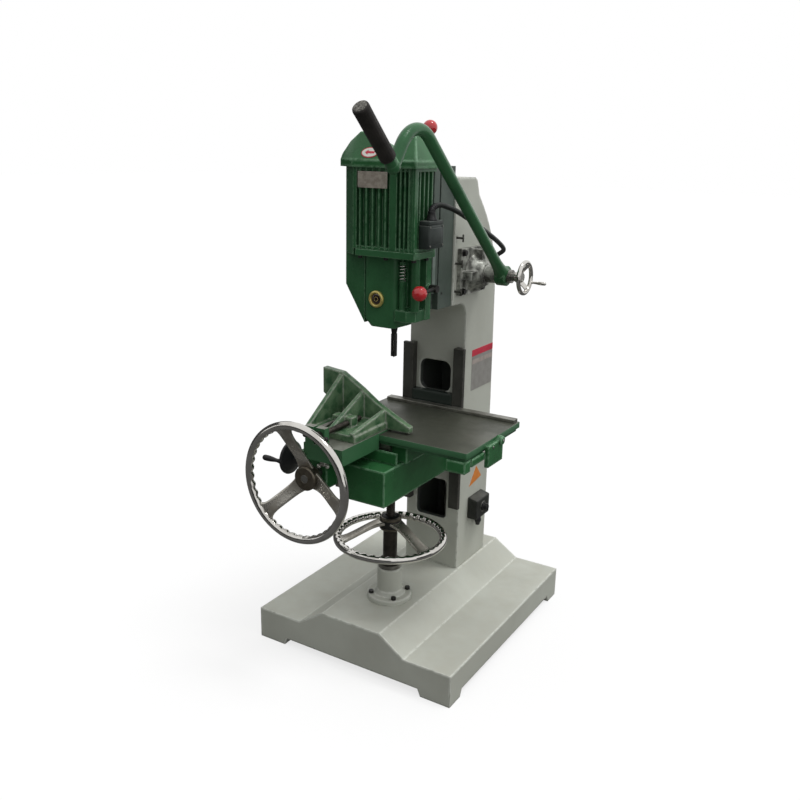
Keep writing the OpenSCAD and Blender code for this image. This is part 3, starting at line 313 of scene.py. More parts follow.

# %% Rounded edges, with wear and painted highlights
# The Bevel node averages the normals found within a radius. Where that average leaves the face's own
# normal there is an edge, so one node gives both a soft highlight and a mask for the pale edge tone,
# which is a painted highlight on the enamels and the wheel spokes and wear on the other finishes.
edges, get, out = new_group("Worn and highlighted edges", [("Vector", VECTOR, (0, 0, 0)), ("Radius", FLOAT, 0.002),
                                           ("Breakup", FLOAT, 60.0), ("Full at", FLOAT, 0.91)],
                             [("Mask", FLOAT), ("Normal", VECTOR)])
soft = add(edges, "ShaderNodeBevel", {"Radius": get["Radius"]}, samples=4).outputs[0]
face = add(edges, "ShaderNodeNewGeometry").outputs["Normal"]
lean = add(edges, "ShaderNodeVectorMath", {0: soft, 1: face}, operation="DOT_PRODUCT").outputs["Value"]
# bare is 1 along edges. The finishes paint their pale edge tone there: a painted highlight on the enamels and
# the spokes, wear on the others.
bare = ramp(edges, lean, 0.994, get["Full at"])
patchy = ramp(edges, noise(edges, get["Vector"], get["Breakup"]), 0.3, 0.52)
edges.links.new(product(edges, bare, patchy), out["Mask"])
edges.links.new(soft, out["Normal"])

# %% Two tones, fine relief and dust
tones, get, out = new_group("Two tones", [("Vector", VECTOR, (0, 0, 0)), ("Tone", COLOR, GREY),
                                          ("Other tone", COLOR, GREY), ("Scale", FLOAT, 8.0)],
                            [("Color", COLOR), ("Mask", FLOAT)])
broad = ramp(tones, noise(tones, get["Vector"], get["Scale"], 6.0), 0.35, 0.68)
tones.links.new(blend_of(tones, broad, get["Tone"], get["Other tone"]), out["Color"])
tones.links.new(broad, out["Mask"])

relief, get, out = new_group("Fine relief", [("Vector", VECTOR, (0, 0, 0)), ("Stretch", VECTOR, (1, 1, 1)),
                                             ("Scale", FLOAT, 400.0), ("Waviness", FLOAT, 0.5)],
                             [("Height", FLOAT)])
pulled = add(relief, "ShaderNodeVectorMath", {0: get["Vector"], 1: get["Stretch"]},
             operation="MULTIPLY").outputs[0]
fine = noise(relief, pulled, get["Scale"], 3.0)
wavy = noise(relief, get["Vector"], 14.0, 2.0)
relief.links.new(maths(relief, "ADD", fine, product(relief, wavy, get["Waviness"])), out["Height"])

dust, get, out = new_group("Settled dust", [("Vector", VECTOR, (0, 0, 0)), ("Amount", FLOAT, 0.3)],
                           [("Mask", FLOAT)])
upward = ramp(dust, parts_of(dust, "ShaderNodeNewGeometry", "Normal")["Z"], 0.55, 0.98)
clumps = ramp(dust, noise(dust, get["Vector"], 22.0, 5.0), 0.3, 0.75)
dust.links.new(product(dust, upward, clumps, get["Amount"]), out["Mask"])
print("groups:", edges.name, tones.name, relief.name, dust.name)

# %% [markdown]
# Every finish below is the same small chain: two tones, then dust, then the pale edge, and a bump
# from the fine relief on top of the rounded normal. What changes are the values: glossy, with little
# wear and a painted highlight along the edges, for enamel, rough and broken for cast iron, stretched
# relief for ground metal.

# %% A finish from the shared groups
def finish(name, tone_a, tone_b, roughness, metallic=0.0, edge_tone=None, edge=0.5, radius=0.002, scale=30.0,
           grain=300, stretch=(1, 1, 1), waviness=0.4, bump=0.0002, dusty=0.0, gloss_change=0.08, coat=0.0,
           dust_tone=(0.55, 0.53, 0.48, 1.0), shine=0.5, full_at=0.91):
    """A Principled material whose colour, roughness and normal come from the groups above."""
    made = bpy.data.materials.new(name)
    made.use_nodes = True
    tree = made.node_tree
    shader = tree.nodes["Principled BSDF"]
    where = add(tree, "ShaderNodeTexCoord").outputs["Object"]
    two = add(tree, "ShaderNodeGroup", {"Vector": where, "Tone": tone(*tone_a), "Other tone": tone(*tone_b),
                                        "Scale": scale}, node_tree=tones)
    edge_wear_and_highlight = add(tree, "ShaderNodeGroup", {"Vector": where, "Radius": radius, "Full at": full_at},
               node_tree=edges)
    fines = add(tree, "ShaderNodeGroup", {"Vector": where, "Stretch": stretch, "Scale": grain,
                                          "Waviness": waviness}, node_tree=relief)
    colour, mask = two.outputs["Color"], two.outputs["Mask"]
    if dusty:
        lying = add(tree, "ShaderNodeGroup", {"Vector": where, "Amount": dusty}, node_tree=dust)
        colour = blend_of(tree, lying.outputs["Mask"], colour, dust_tone)
    # The pale edge tone is a painted highlight on the enamels and the spokes, and wear on the other finishes.
    if edge_tone:
        colour = blend_of(tree, product(tree, edge_wear_and_highlight.outputs["Mask"], edge), colour, tone(*edge_tone))
    tree.links.new(colour, shader.inputs["Base Color"])
    tree.links.new(ramp(tree, mask, 0.0, 1.0, roughness, roughness + gloss_change),
                   shader.inputs["Roughness"])
    shader.inputs["Metallic"].default_value = metallic
    shader.inputs["Specular IOR Level"].default_value = shine
    if coat:
        shader.inputs["Coat Weight"].default_value = coat
        shader.inputs["Coat Roughness"].default_value = 0.12
    raised = add(tree, "ShaderNodeBump", {"Strength": 1.0, "Distance": bump,
                                          "Height": fines.outputs["Height"],
                                          "Normal": edge_wear_and_highlight.outputs["Normal"]})
    tree.links.new(raised.outputs[0], shader.inputs["Normal"])
    return made


def film(name, tone_a, tone_b, scale=30.0, roughness=0.4):
    """The finish of a printed film: flat and unworn."""
    return finish(name, tone_a, tone_b, roughness, radius=0.0004, scale=scale, bump=0.0001)


# %% The machine's finishes
glossy_green = dict(scale=7.0, grain=180, waviness=1.2, bump=0.0005, shine=0.22, dusty=0.06,
                    dust_tone=tone(120, 140, 116))
# The pale edge tones of the grey and green enamels are painted highlights along their edges and ridges.
grey_enamel = finish("grey enamel", (194, 197, 187), (182, 184, 174), 0.42, edge_tone=(232, 234, 226),
                     edge=0.9, radius=0.01, scale=4.0, bump=0.0003, dusty=0.16, dust_tone=tone(168, 160, 142),
                     shine=0.2, full_at=0.965)
green_enamel = finish("green enamel", (58, 108, 70), (46, 90, 57), 0.2, edge_tone=(136, 176, 142), edge=0.75,
                      radius=0.004, **glossy_green)
green_shell = finish("green enamel on rounded castings", (50, 108, 63), (39, 90, 50), 0.2,
                     edge_tone=(140, 184, 148), edge=0.85, radius=0.009, full_at=0.95, **glossy_green)
# The jaw's pale tone and pale edge tone are painted highlights on its green enamel.
highlit_green = finish("green enamel with painted highlights", (106, 132, 102), (56, 94, 62), 0.26, edge_tone=(176, 184, 168),
                    edge=0.9, radius=0.008, scale=34.0, grain=150, waviness=1.4, bump=0.0008, shine=0.3)
slide_iron = finish("slide iron", (84, 96, 88), (70, 80, 74), 0.48, edge_tone=(150, 158, 152), radius=0.003,
                    scale=6.0, grain=260, bump=0.0003, shine=0.25)
rail_iron = finish("rail iron", (80, 80, 75), (62, 62, 58), 0.5, metallic=0.2, edge_tone=(128, 126, 118),
                   edge=0.7, radius=0.0025, scale=10.0, bump=0.0004, shine=0.25)
dark_iron = finish("blackened iron", (38, 38, 36), (28, 28, 27), 0.42, metallic=0.45,
                   edge_tone=(110, 108, 102), radius=0.001, scale=20.0, grain=500)
turned_steel = finish("turned steel", (150, 149, 144), (118, 116, 110), 0.28, metallic=0.95,
                      edge_tone=(196, 195, 190), radius=0.001, scale=26.0, grain=700, bump=0.0001)
oiled_screw = finish("oiled screw", (70, 66, 60), (44, 41, 37), 0.34, metallic=0.8, edge_tone=(130, 124, 114),
                     radius=0.001, grain=500)
rough_casting = finish("bare casting", (186, 188, 180), (88, 89, 84), 0.46, metallic=0.7,
                       edge_tone=(215, 213, 208), edge=0.7, radius=0.003, scale=38.0, grain=160, bump=0.0012,
                       gloss_change=0.2)
chrome = finish("polished chrome", (214, 212, 207), (190, 187, 181), 0.07, metallic=1.0, radius=0.001,
                scale=14.0, grain=90, waviness=1.0, bump=0.00015, gloss_change=0.1)
# The pale edge tone of the spokes is a painted highlight along their bright edges.
spoke_metal = finish("brushed wheel spokes", (196, 193, 184), (158, 153, 142), 0.24, metallic=0.82,
                     edge_tone=(224, 222, 218), edge=0.6, radius=0.0015, scale=22.0, grain=240, bump=0.0003,
                     gloss_change=0.12)
# The hub's finish is darker than the spokes'.
hub_metal = finish("dark wheel hub", (104, 98, 86), (84, 78, 66), 0.34, metallic=0.8,
                   edge_tone=(160, 156, 146), edge=0.6, radius=0.0015, scale=60.0, grain=240, bump=0.0003)
satin_chrome = finish("satin chrome", (214, 213, 206), (196, 194, 186), 0.24, metallic=0.5, radius=0.001,
                      bump=0.0001)
brass_ring = finish("lacquered brass", (212, 196, 118), (186, 166, 92), 0.3, metallic=0.55,
                    edge_tone=(236, 226, 170), radius=0.0012, scale=60.0)
black_moulding = finish("black moulding", (36, 36, 38), (26, 26, 28), 0.38, edge_tone=(78, 78, 78),
                        radius=0.0015, scale=16.0, grain=900, bump=0.0001, dusty=0.1, shine=0.3)
grip_rubber = finish("grip rubber", (46, 43, 40), (34, 32, 30), 0.55, edge_tone=(84, 80, 76), radius=0.0015,
                     grain=650, bump=0.0004, shine=0.25)
red_knob = finish("red knob", (200, 38, 44), (186, 30, 38), 0.22, edge_tone=(226, 90, 90), edge=0.3,
                  radius=0.001, scale=20.0, grain=200, bump=0.0001, gloss_change=0.04, coat=0.5)
cable_sheath = finish("cable sheath", (40, 44, 41), (30, 33, 31), 0.45, scale=40.0, grain=500, shine=0.3)
bare_plate = finish("bare nameplate", (172, 164, 152), (142, 134, 124), 0.42, metallic=0.25,
                    edge_tone=(205, 202, 196), edge=0.6, radius=0.0008, scale=90.0, grain=600,
                    stretch=(0.1, 1, 1), gloss_change=0.15)
white_film = film("white film", (226, 226, 220), (214, 213, 206))
red_film = film("red film", (206, 40, 68), (188, 34, 60))
amber_film = film("amber film", (226, 140, 60), (214, 124, 50))
grey_film = film("grey film", (150, 148, 144), (140, 138, 133), scale=40.0)
pale_film = film("pale film", (176, 164, 158), (160, 150, 142), scale=60.0, roughness=0.42)
grip_end = finish("moulded grip end", (132, 130, 122), (50, 48, 45), 0.62, scale=260.0, grain=700,
                  bump=0.0005)
sight_glass = finish("dark sight glass", (48, 30, 18), (30, 20, 13), 0.08, scale=40.0, grain=100,
                     bump=0.00005, gloss_change=0.03, coat=0.8)
switch_moulding = finish("switch moulding", (50, 52, 48), (38, 40, 37), 0.42, edge_tone=(112, 112, 106),
                         edge=0.6, scale=14.0, grain=700, dusty=0.1, shine=0.3)
ground_steel = finish("ground steel", (148, 148, 140), (108, 107, 99), 0.34, metallic=0.8,
                      edge_tone=(190, 190, 182), radius=0.001, scale=18.0, grain=700, stretch=(0.05, 1, 1))
strip_steel = finish("bright flange strip", (138, 152, 144), (116, 130, 122), 0.4, metallic=0.3, radius=0.0008,
                     grain=500, stretch=(1, 1, 0.06))
box_plastic = finish("dark box", (50, 58, 55), (38, 44, 42), 0.42, edge_tone=(124, 130, 126), edge=0.6,
                     scale=12.0, grain=500, dusty=0.15, shine=0.3)
print(len(bpy.data.materials), "finishes")

# %% Ground faces on painted castings
# The table is one casting with two finishes: its top is ground bright, in long strokes, and stained by
# use, and its edges are painted. A mask from the face's own direction splits them. The bed of the
# clamp in front of it was machined in the same way.
def ground_above(made, paint, metal):
    """Leaves a finish bare on faces that look up, where metal is its metallic value, and paints the rest."""
    tree = made.node_tree
    shader = tree.nodes["Principled BSDF"].inputs
    on_top = ramp(tree, parts_of(tree, "ShaderNodeNewGeometry", "Normal")["Z"], 0.6, 0.8)
    ground = shader["Base Color"].links[0].from_socket
    tree.links.new(blend_of(tree, on_top, paint, ground), shader["Base Color"])
    tree.links.new(product(tree, on_top, metal), shader["Metallic"])
    return made


table_finish = ground_above(finish("ground table", (90, 92, 81), (68, 71, 61), 0.36,
                                   edge_tone=(166, 168, 156), edge=0.6, scale=5.0, grain=900,
                                   stretch=(0.04, 1, 1), waviness=0.3, bump=0.00025, gloss_change=0.18),
                            tone(50, 96, 62), 0.5)
bed_finish = ground_above(finish("ground bed", (150, 152, 142), (112, 114, 104), 0.36,
                                 edge_tone=(176, 180, 168), edge=0.7, scale=16.0, grain=700,
                                 stretch=(1, 0.06, 1), waviness=0.3, bump=0.00025, gloss_change=0.15),
                          tone(54, 102, 66), 0.5)
print("split by their normals:", table_finish.name, bed_finish.name)

# %% Dress the solids that keep their own shape
worn_by = {
    grey_enamel: "base_casting column_casting rear_cover pedestal",
    green_enamel: "knee_casting saddle table_brackets head_casting motor_housing fan_cowl "
                  "lower_housing feed_lever",
    highlit_green: "clamp_jaw",
    bed_finish: "clamp_bed",
    ground_steel: "back_fence",
    switch_moulding: "switch_box",
    slide_iron: "head_slide terminal_box",
    rail_iron: "way_rails knee_keepers",
    dark_iron: "frame_bolts gib_screws flange_bolts hollow_chisel clamp_bar cooling_fan",
    turned_steel: "thrust_bearing head_gib cross_rack cross_shaft table_rack table_pinion "
                  "clamp_guide head_rack stator spindle_bearings rotor feed_pinion auger_bit "
                  "latch_spring",
    oiled_screw: "elevating_screw nut_sleeve clamp_screw",
    rough_casting: "pinion_bracket",
    chrome: "elevating_wheel table_wheel lever_wheel table_lock",
    brass_ring: "oil_sight",
    black_moulding: "cable_glands cross_wheel cross_handle",
    grip_rubber: "lever_grip",
    red_knob: "switch_knob mode_lever slide_lock",
    cable_sheath: "motor_lead",
    bare_plate: "head_plates",
    white_film: "label_plates",
    table_finish: "table_plate",
}
for coat_of, names in worn_by.items():
    for name in names.split():
        nodes[name].data.materials.clear()
        nodes[name].data.materials.append(coat_of)
print("solids without a finish:", sorted(set(nodes) - set(" ".join(worn_by.values()).split())))

# %% [markdown]
# ## Handwheels
# A cast handwheel is three surfaces that grow into each other. The rim is a tube whose radius dips in
# forty even waves on its rear, inner side, so that fingers find a hold. Each spoke is a rounded strip
# that is wide at the hub, slim halfway and wide again at the rim. The hub is a turned ring.

# %% Formulas for a wheel
def box_loop(steps, power):
    """Across and through values, from -1 to 1: a circle at power 2, nearly a rectangle above 5."""
    a = np.linspace(0, TURN, steps, endpoint=False)
    c, s = np.cos(a), np.sin(a)
    return np.sign(c) * np.abs(c) ** (2 / power), np.sign(s) * np.abs(s) ** (2 / power)


def rim(radius, tube, grips, depth, steps=12, around=24):
    """Torus; on its rear inner side the tube's radius dips by depth times a squared wave, grips times."""
    t, q = np.meshgrid(np.linspace(0, TURN, grips * steps, endpoint=False),
                       np.linspace(0, TURN, around, endpoint=False), indexing="ij")
    side = np.clip(np.cos(q - math.radians(140)), 0, 1) ** 1.5
    k = tube - depth * side * (0.5 + 0.5 * np.cos(grips * t)) ** 1.4
    wide = radius + k * np.cos(q)
    return round_points(wide, t, k * np.sin(q))


def spoke(angle, start, end, waist, hub_flare, rim_flare, thick, dish):
    """Rounded strip from radius start to end. Its half width falls from the hub and grows at the rim,
    never past a third of the circle, and its height falls from dish to 0 along a soft S."""
    t = np.linspace(0, 1, 48)[:, None]
    across, through = (v[None] for v in box_loop(28, 5))
    r = start + (end - start) * t
    half = waist + hub_flare * np.exp(-(r - start) / (0.42 * start))
    half += rim_flare * np.exp(-(end - r) / (0.06 * end))
    a = angle + across * np.minimum(half / r, TURN / 6.02)
    height = dish * (1 - 0.5 * t - 0.5 * t * t * (3 - 2 * t)) + thick / 2 * through
    return round_points(r, a, height)


def hub_ring(outer, bore, low, high, round_by=0.002):
    """Closed profile of a bored boss, turned once."""
    profile = [(bore, low), (outer - round_by, low), (outer, low + round_by), (outer, high - round_by),
               (outer - round_by, high), (bore + round_by, high), (bore, high - round_by)]
    return turned(profile, (0, 0, 0), Z)[0]


def placed(local, centre, axes):
    """Grid in the wheel's own frame, whose three axes are the rows of axes, moved to its place."""
    return np.array(centre, float) + local @ np.array(axes, float)


def big_wheel(name, centre, axes, first, dish, hub, hub_high, bore, body, replaces):
    """Rim, three spokes and hub of a wheel that turns about the third of its axes."""
    ring = placed(rim(0.1572, tube=0.0118, grips=40, depth=0.004), centre, axes)
    piece(name + "_rim", [(ring, True, True, False)], chrome, body, replaces=replaces)
    strips = [spoke(first + k * TURN / 3, start=hub * 0.86, end=0.1545, waist=0.0178, hub_flare=0.014,
                    rim_flare=0.019, thick=0.01, dish=dish + 0.004) for k in range(3)]
    boss = hub_ring(hub, bore, dish - hub_high / 2, dish + hub_high / 2, round_by=0.003)
    piece(name + "_spider", [(placed(strip, centre, axes), False, True, True) for strip in strips],
          spoke_metal, body)
    piece(name + "_hub", [(placed(boss, centre, axes), True, True, False)], hub_metal, body)


big_wheel("drive_wheel", (-0.086, -0.5, 0.6), (X, Z, Y), first=math.radians(-15), dish=0.052, hub=0.034,
          hub_high=0.03, bore=0.0114, body="table_drive", replaces=["table_wheel"])
big_wheel("lift_wheel", (0.008, -0.175, 0.346), (X, Y, Z), first=math.radians(105), dish=0.046, hub=0.032,
          hub_high=0.04, bore=0.0172, body="lift_wheel", replaces=["elevating_wheel"])

dome = mm(14.6, 402, 32.6, 380, 32.8, 399, 31.2, 406.8, 26.2, 412, 20, 414.4, 15.2, 414.8, 14.6, 414)
piece("lift_hub_cap", [turned(dome, (0.008, -0.175, 0), Z, steps=72, ring=True)], dark_iron, "lift_wheel")

# %% Two small dished handwheels
# The bright one on the lever's axis has three wide spokes and a handle; the dark one is a solid bowl.
centre, axes = (0.268, 0.104, 1.105), (Y, Z, -X)
parts = [(placed(rim(0.0438, tube=0.0062, grips=24, depth=0.0), centre, axes), True, True, False)]
for k in range(3):
    strip = spoke(math.radians(60 + 120 * k), start=0.0135, end=0.0425, waist=0.0085, hub_flare=0.004,
                  rim_flare=0.006, thick=0.005, dish=0.017)
    parts.append((placed(strip, centre, axes), False, True, True))
parts.append((placed(hub_ring(0.015, bore=0.0125, low=0.008, high=0.028, round_by=0.0015), centre, axes),
              True, True, False))
piece("lever_hand_wheel", parts, chrome, "feed_wheel", replaces=["lever_wheel"])
bowl = mm(8.3, 28, 13, 28, 15, 26.2, 15.6, 23.5, 22, 20.5, 31, 16, 39, 10.5, 44.5, 6.2, 48.5, 4, 50, 0.8,
          49.4, -3, 46.2, -5.6, 42.5, -5.2, 39.5, -2.2, 34, 3.6, 25, 9.2, 16, 12.5, 8.3, 13.5)
boss = hub_ring(0.007, bore=0.0033, low=-0.0061, high=0.004, round_by=0.001)
piece("cross_bowl", [turned(bowl, (-0.262, -0.3, 0.576), X, steps=72, ring=True),
                     (placed(boss, (-0.262, -0.344, 0.576), (Y, Z, X)), True, True, False)],
      black_moulding, "cross_drive", replaces=["cross_wheel"])

# %% Turning handles
# One profile serves both handles: a collar, a slim neck, a swell for the palm and a round end.
def handle(name, start, direction, length, radius, stem, coat_of, body, replaces=()):
    t = np.linspace(0, 1, 30)
    swell = radius * (0.62 + 0.38 * np.sin(np.clip((t - 0.08) / 0.92, 0, 1) * 2.35) ** 1.3)
    close = np.sqrt(np.clip(1 - ((t - 0.86) / 0.14).clip(0, 1) ** 2, 0, 1))
    profile = [(0, -stem), (0.0029, -stem), (0.0029, 0.0005), (radius * 0.72, 0.0005), (radius * 0.72, 0.004),
               (radius * 0.6, 0.0052)]
    profile += [(r, 0.0055 + h * (length - 0.0055)) for r, h in zip(swell * close, t)]
    piece(name, [turned(profile, start, direction, steps=40)], coat_of, body, replaces=replaces)


handle("cross_turning_handle", (-0.2683, -0.344, 0.576), -X, length=0.062, radius=0.0088, stem=0.012,
       coat_of=black_moulding, body="cross_grip", replaces=["cross_handle"])
lean = math.radians(24)
spot = placed(np.array([math.cos(lean) * 0.044, -math.sin(lean) * 0.044, -0.004]), centre, axes)
handle("lever_wheel_handle", spot, X, length=0.046, radius=0.0052, stem=0.002, coat_of=chrome,
       body="feed_wheel")

# %% [markdown]
# ## Softer edges for cast and moulded parts
# No cast edge is sharp. These pieces take the solid's own faces, join its corners, and let the Bevel
# modifier round every edge that turns by more than 25 degrees. The light lines along the cowl's ridges
# and the column's corners come from these roundings and from the painted highlight of their finishes' pale
# edge tone.

# %% Rounded copies
def softened(node, width, body, coat_of, limit=25):
    """A copy of a solid's mesh whose edges are rounded by the width, in millimetres."""
    mesh = nodes[node].data.copy()
    mesh.transform(nodes[node].matrix_world)
    cleaned(mesh, limit, near=2e-6, merge_flats=True)
    made = dressed(node + "_soft", mesh, coat_of, body, [node])
    rounding = made.modifiers.new("rounding", "BEVEL")
    rounding.width, rounding.segments, rounding.limit_method = width / 1000, 3, "ANGLE"
    rounding.angle_limit, rounding.harden_normals = math.radians(limit), True


for node, width, body, coat_of in (
        ("base_casting", 3.5, "frame", grey_enamel), ("column_casting", 4.0, "frame", grey_enamel),
        ("fan_cowl", 5.0, "head", green_shell), ("clamp_jaw", 3.5, "jaw", highlit_green),
        ("knee_casting", 3.0, "knee", green_shell), ("saddle", 2.5, "saddle", green_shell),
        ("head_slide", 1.8, "head", slide_iron), ("back_fence", 1.2, "table", ground_steel),
        ("table_brackets", 3.5, "table", green_shell), ("clamp_bed", 2.0, "table", bed_finish),
        ("switch_box", 4.5, "frame", switch_moulding), ("pinion_bracket", 3.0, "frame", rough_casting),
        ("way_rails", 1.2, "frame", rail_iron)):
    softened(node, width, body, coat_of)

# %% Painted shade inside the column
# The hollow is painted darker, as the shade inside it. A mask made from Object coordinates is 1 between the
# walls and 0 outside.
def laid_over(node, name, mask_in, colour):
    """Gives a rounded copy its own finish: a plain colour wherever the mask is 1."""
    piece_of = bpy.data.objects[node + "_soft"].data
    made = piece_of.materials[0].copy()
    made.name = name
    paint = made.node_tree.nodes["Principled BSDF"].inputs["Base Color"]
    mask = mask_in(made.node_tree)
    made.node_tree.links.new(blend_of(made.node_tree, mask, paint.links[0].from_socket, colour), paint)
    piece_of.materials[0] = made
    print(node, "wears", name)


def in_the_hollow(tree):
    place = parts_of(tree, "ShaderNodeTexCoord", "Object")
    across = ramp(tree, maths(tree, "ABSOLUTE", place["X"]), 0.087, 0.089, 1.0, 0.0)
    depth = product(tree, ramp(tree, place["Y"], 0.0915, 0.0935),
                    ramp(tree, place["Y"], 0.278, 0.284, 1.0, 0.0))
    backward = ramp(tree, parts_of(tree, "ShaderNodeNewGeometry", "Normal")["Y"], 0.05, 0.15)
    outer_back = product(tree, backward, ramp(tree, place["Y"], 0.118, 0.122))
    outer = maths(tree, "MAXIMUM", outer_back, ramp(tree, place["Z"], 1.345, 1.35))
    return product(tree, across, depth, maths(tree, "SUBTRACT", 1.0, outer))


# tone(90, 94, 90) is painted shade for the dark inside of the column.
laid_over("column_casting", "grey enamel with painted shade in the hollow", in_the_hollow, tone(90, 94, 90))

# %% Painted shade on the flange of the knee
# Above the table the knee ends in the flat that slides between the rails. It is painted dark there, as the
# shade between the rails.
def above_the_table(tree):
    return ramp(tree, parts_of(tree, "ShaderNodeTexCoord", "Object")["Z"], 0.672, 0.676)


# tone(52, 60, 55) is painted shade on the flange between the rails.
laid_over("knee_casting", "green enamel with painted shade above the table", above_the_table, tone(52, 60, 55))

# %% [markdown]
# ## The feed lever
# The pipe is one tube along a path: out of the hub, up the long arm, round the bend and down to the
# knuckle. Its radius grows where it runs into the hub, as the cast root does. The hub is a turned drum.

# %% Lever pipe, hub, knuckle and grip
def on_lever(points):
    """Points (y, z) in the lever's own plane, in millimetres, as points in metres."""
    p = np.array(points, float) / 1000
    return np.column_stack([np.full(len(p), 0.2), p])


pivot, top, low_end = np.array([104.0, 1105.0]), np.array([-411.0, 1533.0]), np.array([-498.0, 1413.0])
arm, fall = unit(pivot - top), unit(low_end - top)
half = math.acos(arm @ fall) / 2
bend_radius = 85
reach = bend_radius / math.tan(half)
middle = top + unit(arm + fall) * bend_radius / math.sin(half)
first, last = top + reach * arm - middle, top + reach * fall - middle
sweep = math.atan2(first[0] * last[1] - first[1] * last[0], first @ last)
turns = np.linspace(0, sweep, 22)[1:-1, None]
bend = middle + first * np.cos(turns) + np.array([-first[1], first[0]]) * np.sin(turns)
long_arm = pivot + (top + reach * arm - pivot) * np.linspace(0, 1, 60)[:, None]
short_arm = top + reach * fall + (low_end - top - reach * fall) * np.linspace(0, 1, 14)[:, None]
path = np.concatenate([long_arm, bend, short_arm])
walked = np.concatenate([[0], np.cumsum(np.linalg.norm(np.diff(path, axis=0), axis=1))])
thick = (15.0 + 8.5 * np.exp(-np.clip(walked - 14, 0, None) / 22)) / 1000
pipe = swept(on_lever(path), thick, steps=36, hint=X)
drum = mm(12.8, -16.3, 26.2, -16.3, 28.5, -14, 28.5, 14, 26.2, 16.3, 12.8, 16.3)
hub = turned(drum, (0.2, 0.104, 1.105), X, steps=72, ring=True)
toward = unit([0, -0.735, 0.678])
knuckle_at = on_lever([low_end])[0]
knuckle = turned(half_circle(0.0168), knuckle_at, toward, steps=36, hint=X)
root = swept(knuckle_at + toward * np.linspace(0, 0.028, 8)[:, None], 0.015, steps=36, hint=X)
piece("lever_pipe", [pipe, hub, knuckle, root], green_enamel, "feed",
      replaces=["feed_lever"])
along = np.array([0, 0.0016, 0.004, 0.012, 0.02, 0.08, 0.138, 0.143, 0.1475, 0.15, 0.1512, 0.1515])
thickness = np.array([0.0152, 0.0178, 0.019, 0.019, 0.0186, 0.0188, 0.019, 0.0193, 0.019, 0.0182, 0.0168,
                      0.015])
sides = np.linspace(0, TURN, 72, endpoint=False)
ribs = 1 - 0.018 * (0.5 + 0.5 * np.cos(18 * sides))[None] * ((along > 0.01) & (along < 0.14))[:, None]
sleeve = round_points(thickness[:, None] * ribs, sides, along[:, None], knuckle_at + 0.0262 * toward, toward,
                      X)
cap = turned(mm(0, -3, 15.2, -3, 15.2, 0.4, 14, 1.1, 8, 0.8, 0, 0.6), knuckle_at + toward * (0.0262 + 0.1515),
             toward, steps=72, hint=X)
piece("grip_sleeve", [(sleeve, False, True, True)], grip_rubber, "feed", replaces=["lever_grip"])
piece("grip_end", [cap], grip_end, "feed")

# %% Red ball knobs on dark stems
def ball(name, centre, direction, body, radius=0.02, neck=0.006):
    """Sphere with a small flat collar where its stem enters, turned about the stem."""
    profile = [(0, -radius * 1.04), (neck, -radius * 1.04), (neck * 1.25, -radius * 1.0)]
    profile += half_circle(radius, math.asin(neck * 1.25 / radius), 36)
    piece(name, [turned(profile, centre, direction)], red_knob, body)


lean_out = unit([0.008, -0.083, 0])
ball("mode_ball", (0.117, -0.226, 1.087), lean_out, "mode")
mode_pivot = (0.094, -0.131, 1.087)
stem = mm(0, -12, 5.6, -11, 5.6, 20, 5, 40, 5, 83, 0, 83)
collar = mm(0, 0.3, 10, 0.3, 11, 1.4, 11, 22.5, 9.8, 24, 0, 24)
pin = mm(0, -26, 5, -26, 5, 2, 0, 2)
piece("mode_stem", [turned(stem, (0.108, -0.131, 1.087), lean_out, steps=32),
                    turned(collar, mode_pivot, X, steps=48),
                    turned(pin, mode_pivot, X, steps=24)],
      dark_iron, "mode", replaces=["mode_lever"])
ball("lock_ball", (0.034, -0.05, 1.506), Z, "slide_lever")
lock_pivot = (0.034, -0.05, 1.421)
post = mm(0, -1, 5.5, -1, 5.5, 45, 4.8, 66, 0, 66)
barrel = mm(0, -12.7, 9, -12.7, 10, -11.7, 10, 11.7, 9, 12.7, 0, 12.7)
axle = mm(0, -20, 3.2, -20, 4, -19.2, 4, 19.2, 3.2, 20, 0, 20)
piece("lock_stem", [turned(post, lock_pivot, Z, steps=32),
                    turned(barrel, lock_pivot, X, steps=48),
                    turned(axle, lock_pivot, X, steps=24)],
      dark_iron, "slide_lever", replaces=["slide_lock"])

# %% [markdown]
# ## Fittings of the head
# The oil sight is a turned ring with a domed glass behind it. The nameplate stays bare: a thin plate
# and four rivets. The cowl carries a generic turning arrow in an oval. It sits where a ray
# from the camera meets the cowl, so it follows the casting.

# %% Oil sight
sight = (-0.03, -0.205, 1.055)
bezel = mm(15.2, 0.2, 23.2, 0.2, 23.5, 1.2, 23.2, 5, 21.6, 7.2, 19.6, 8, 17.4, 7.8, 16, 6.6, 15.2, 5)
piece("sight_ring", [turned(bezel, sight, -Y, steps=96, ring=True)], brass_ring, "head",
      replaces=["oil_sight"])
t = np.linspace(0, 1, 14)
lens_profile = mm(0, 0.6, 15.3, 0.6)
lens_profile += [(0.0153 * math.cos(v * math.pi / 2), 0.002 + 0.0024 * math.sin(v * math.pi / 2))
                 for v in t]
piece("sight_glass", [turned(lens_profile, sight, -Y, steps=64)], sight_glass, "head")
inner = mm(4, 4, 6.2, 4.4, 6.6, 4, 6.2, 3.4, 4, 3.6)
piece("sight_mark", [turned(inner, sight, -Y, steps=48, ring=True)], brass_ring, "head")

# %% Nameplate, its rivets and the turning arrow
def plate(name, outline, thickness, centre, normal, coat_of, body, replaces=()):
    """Thin upright plate on the surface whose normal is given."""
    grid = slab(outline, thickness, centre, normal, Z, min(0.0004, thickness / 3))
    piece(name, [grid], coat_of, body, replaces=replaces, sharp=25)


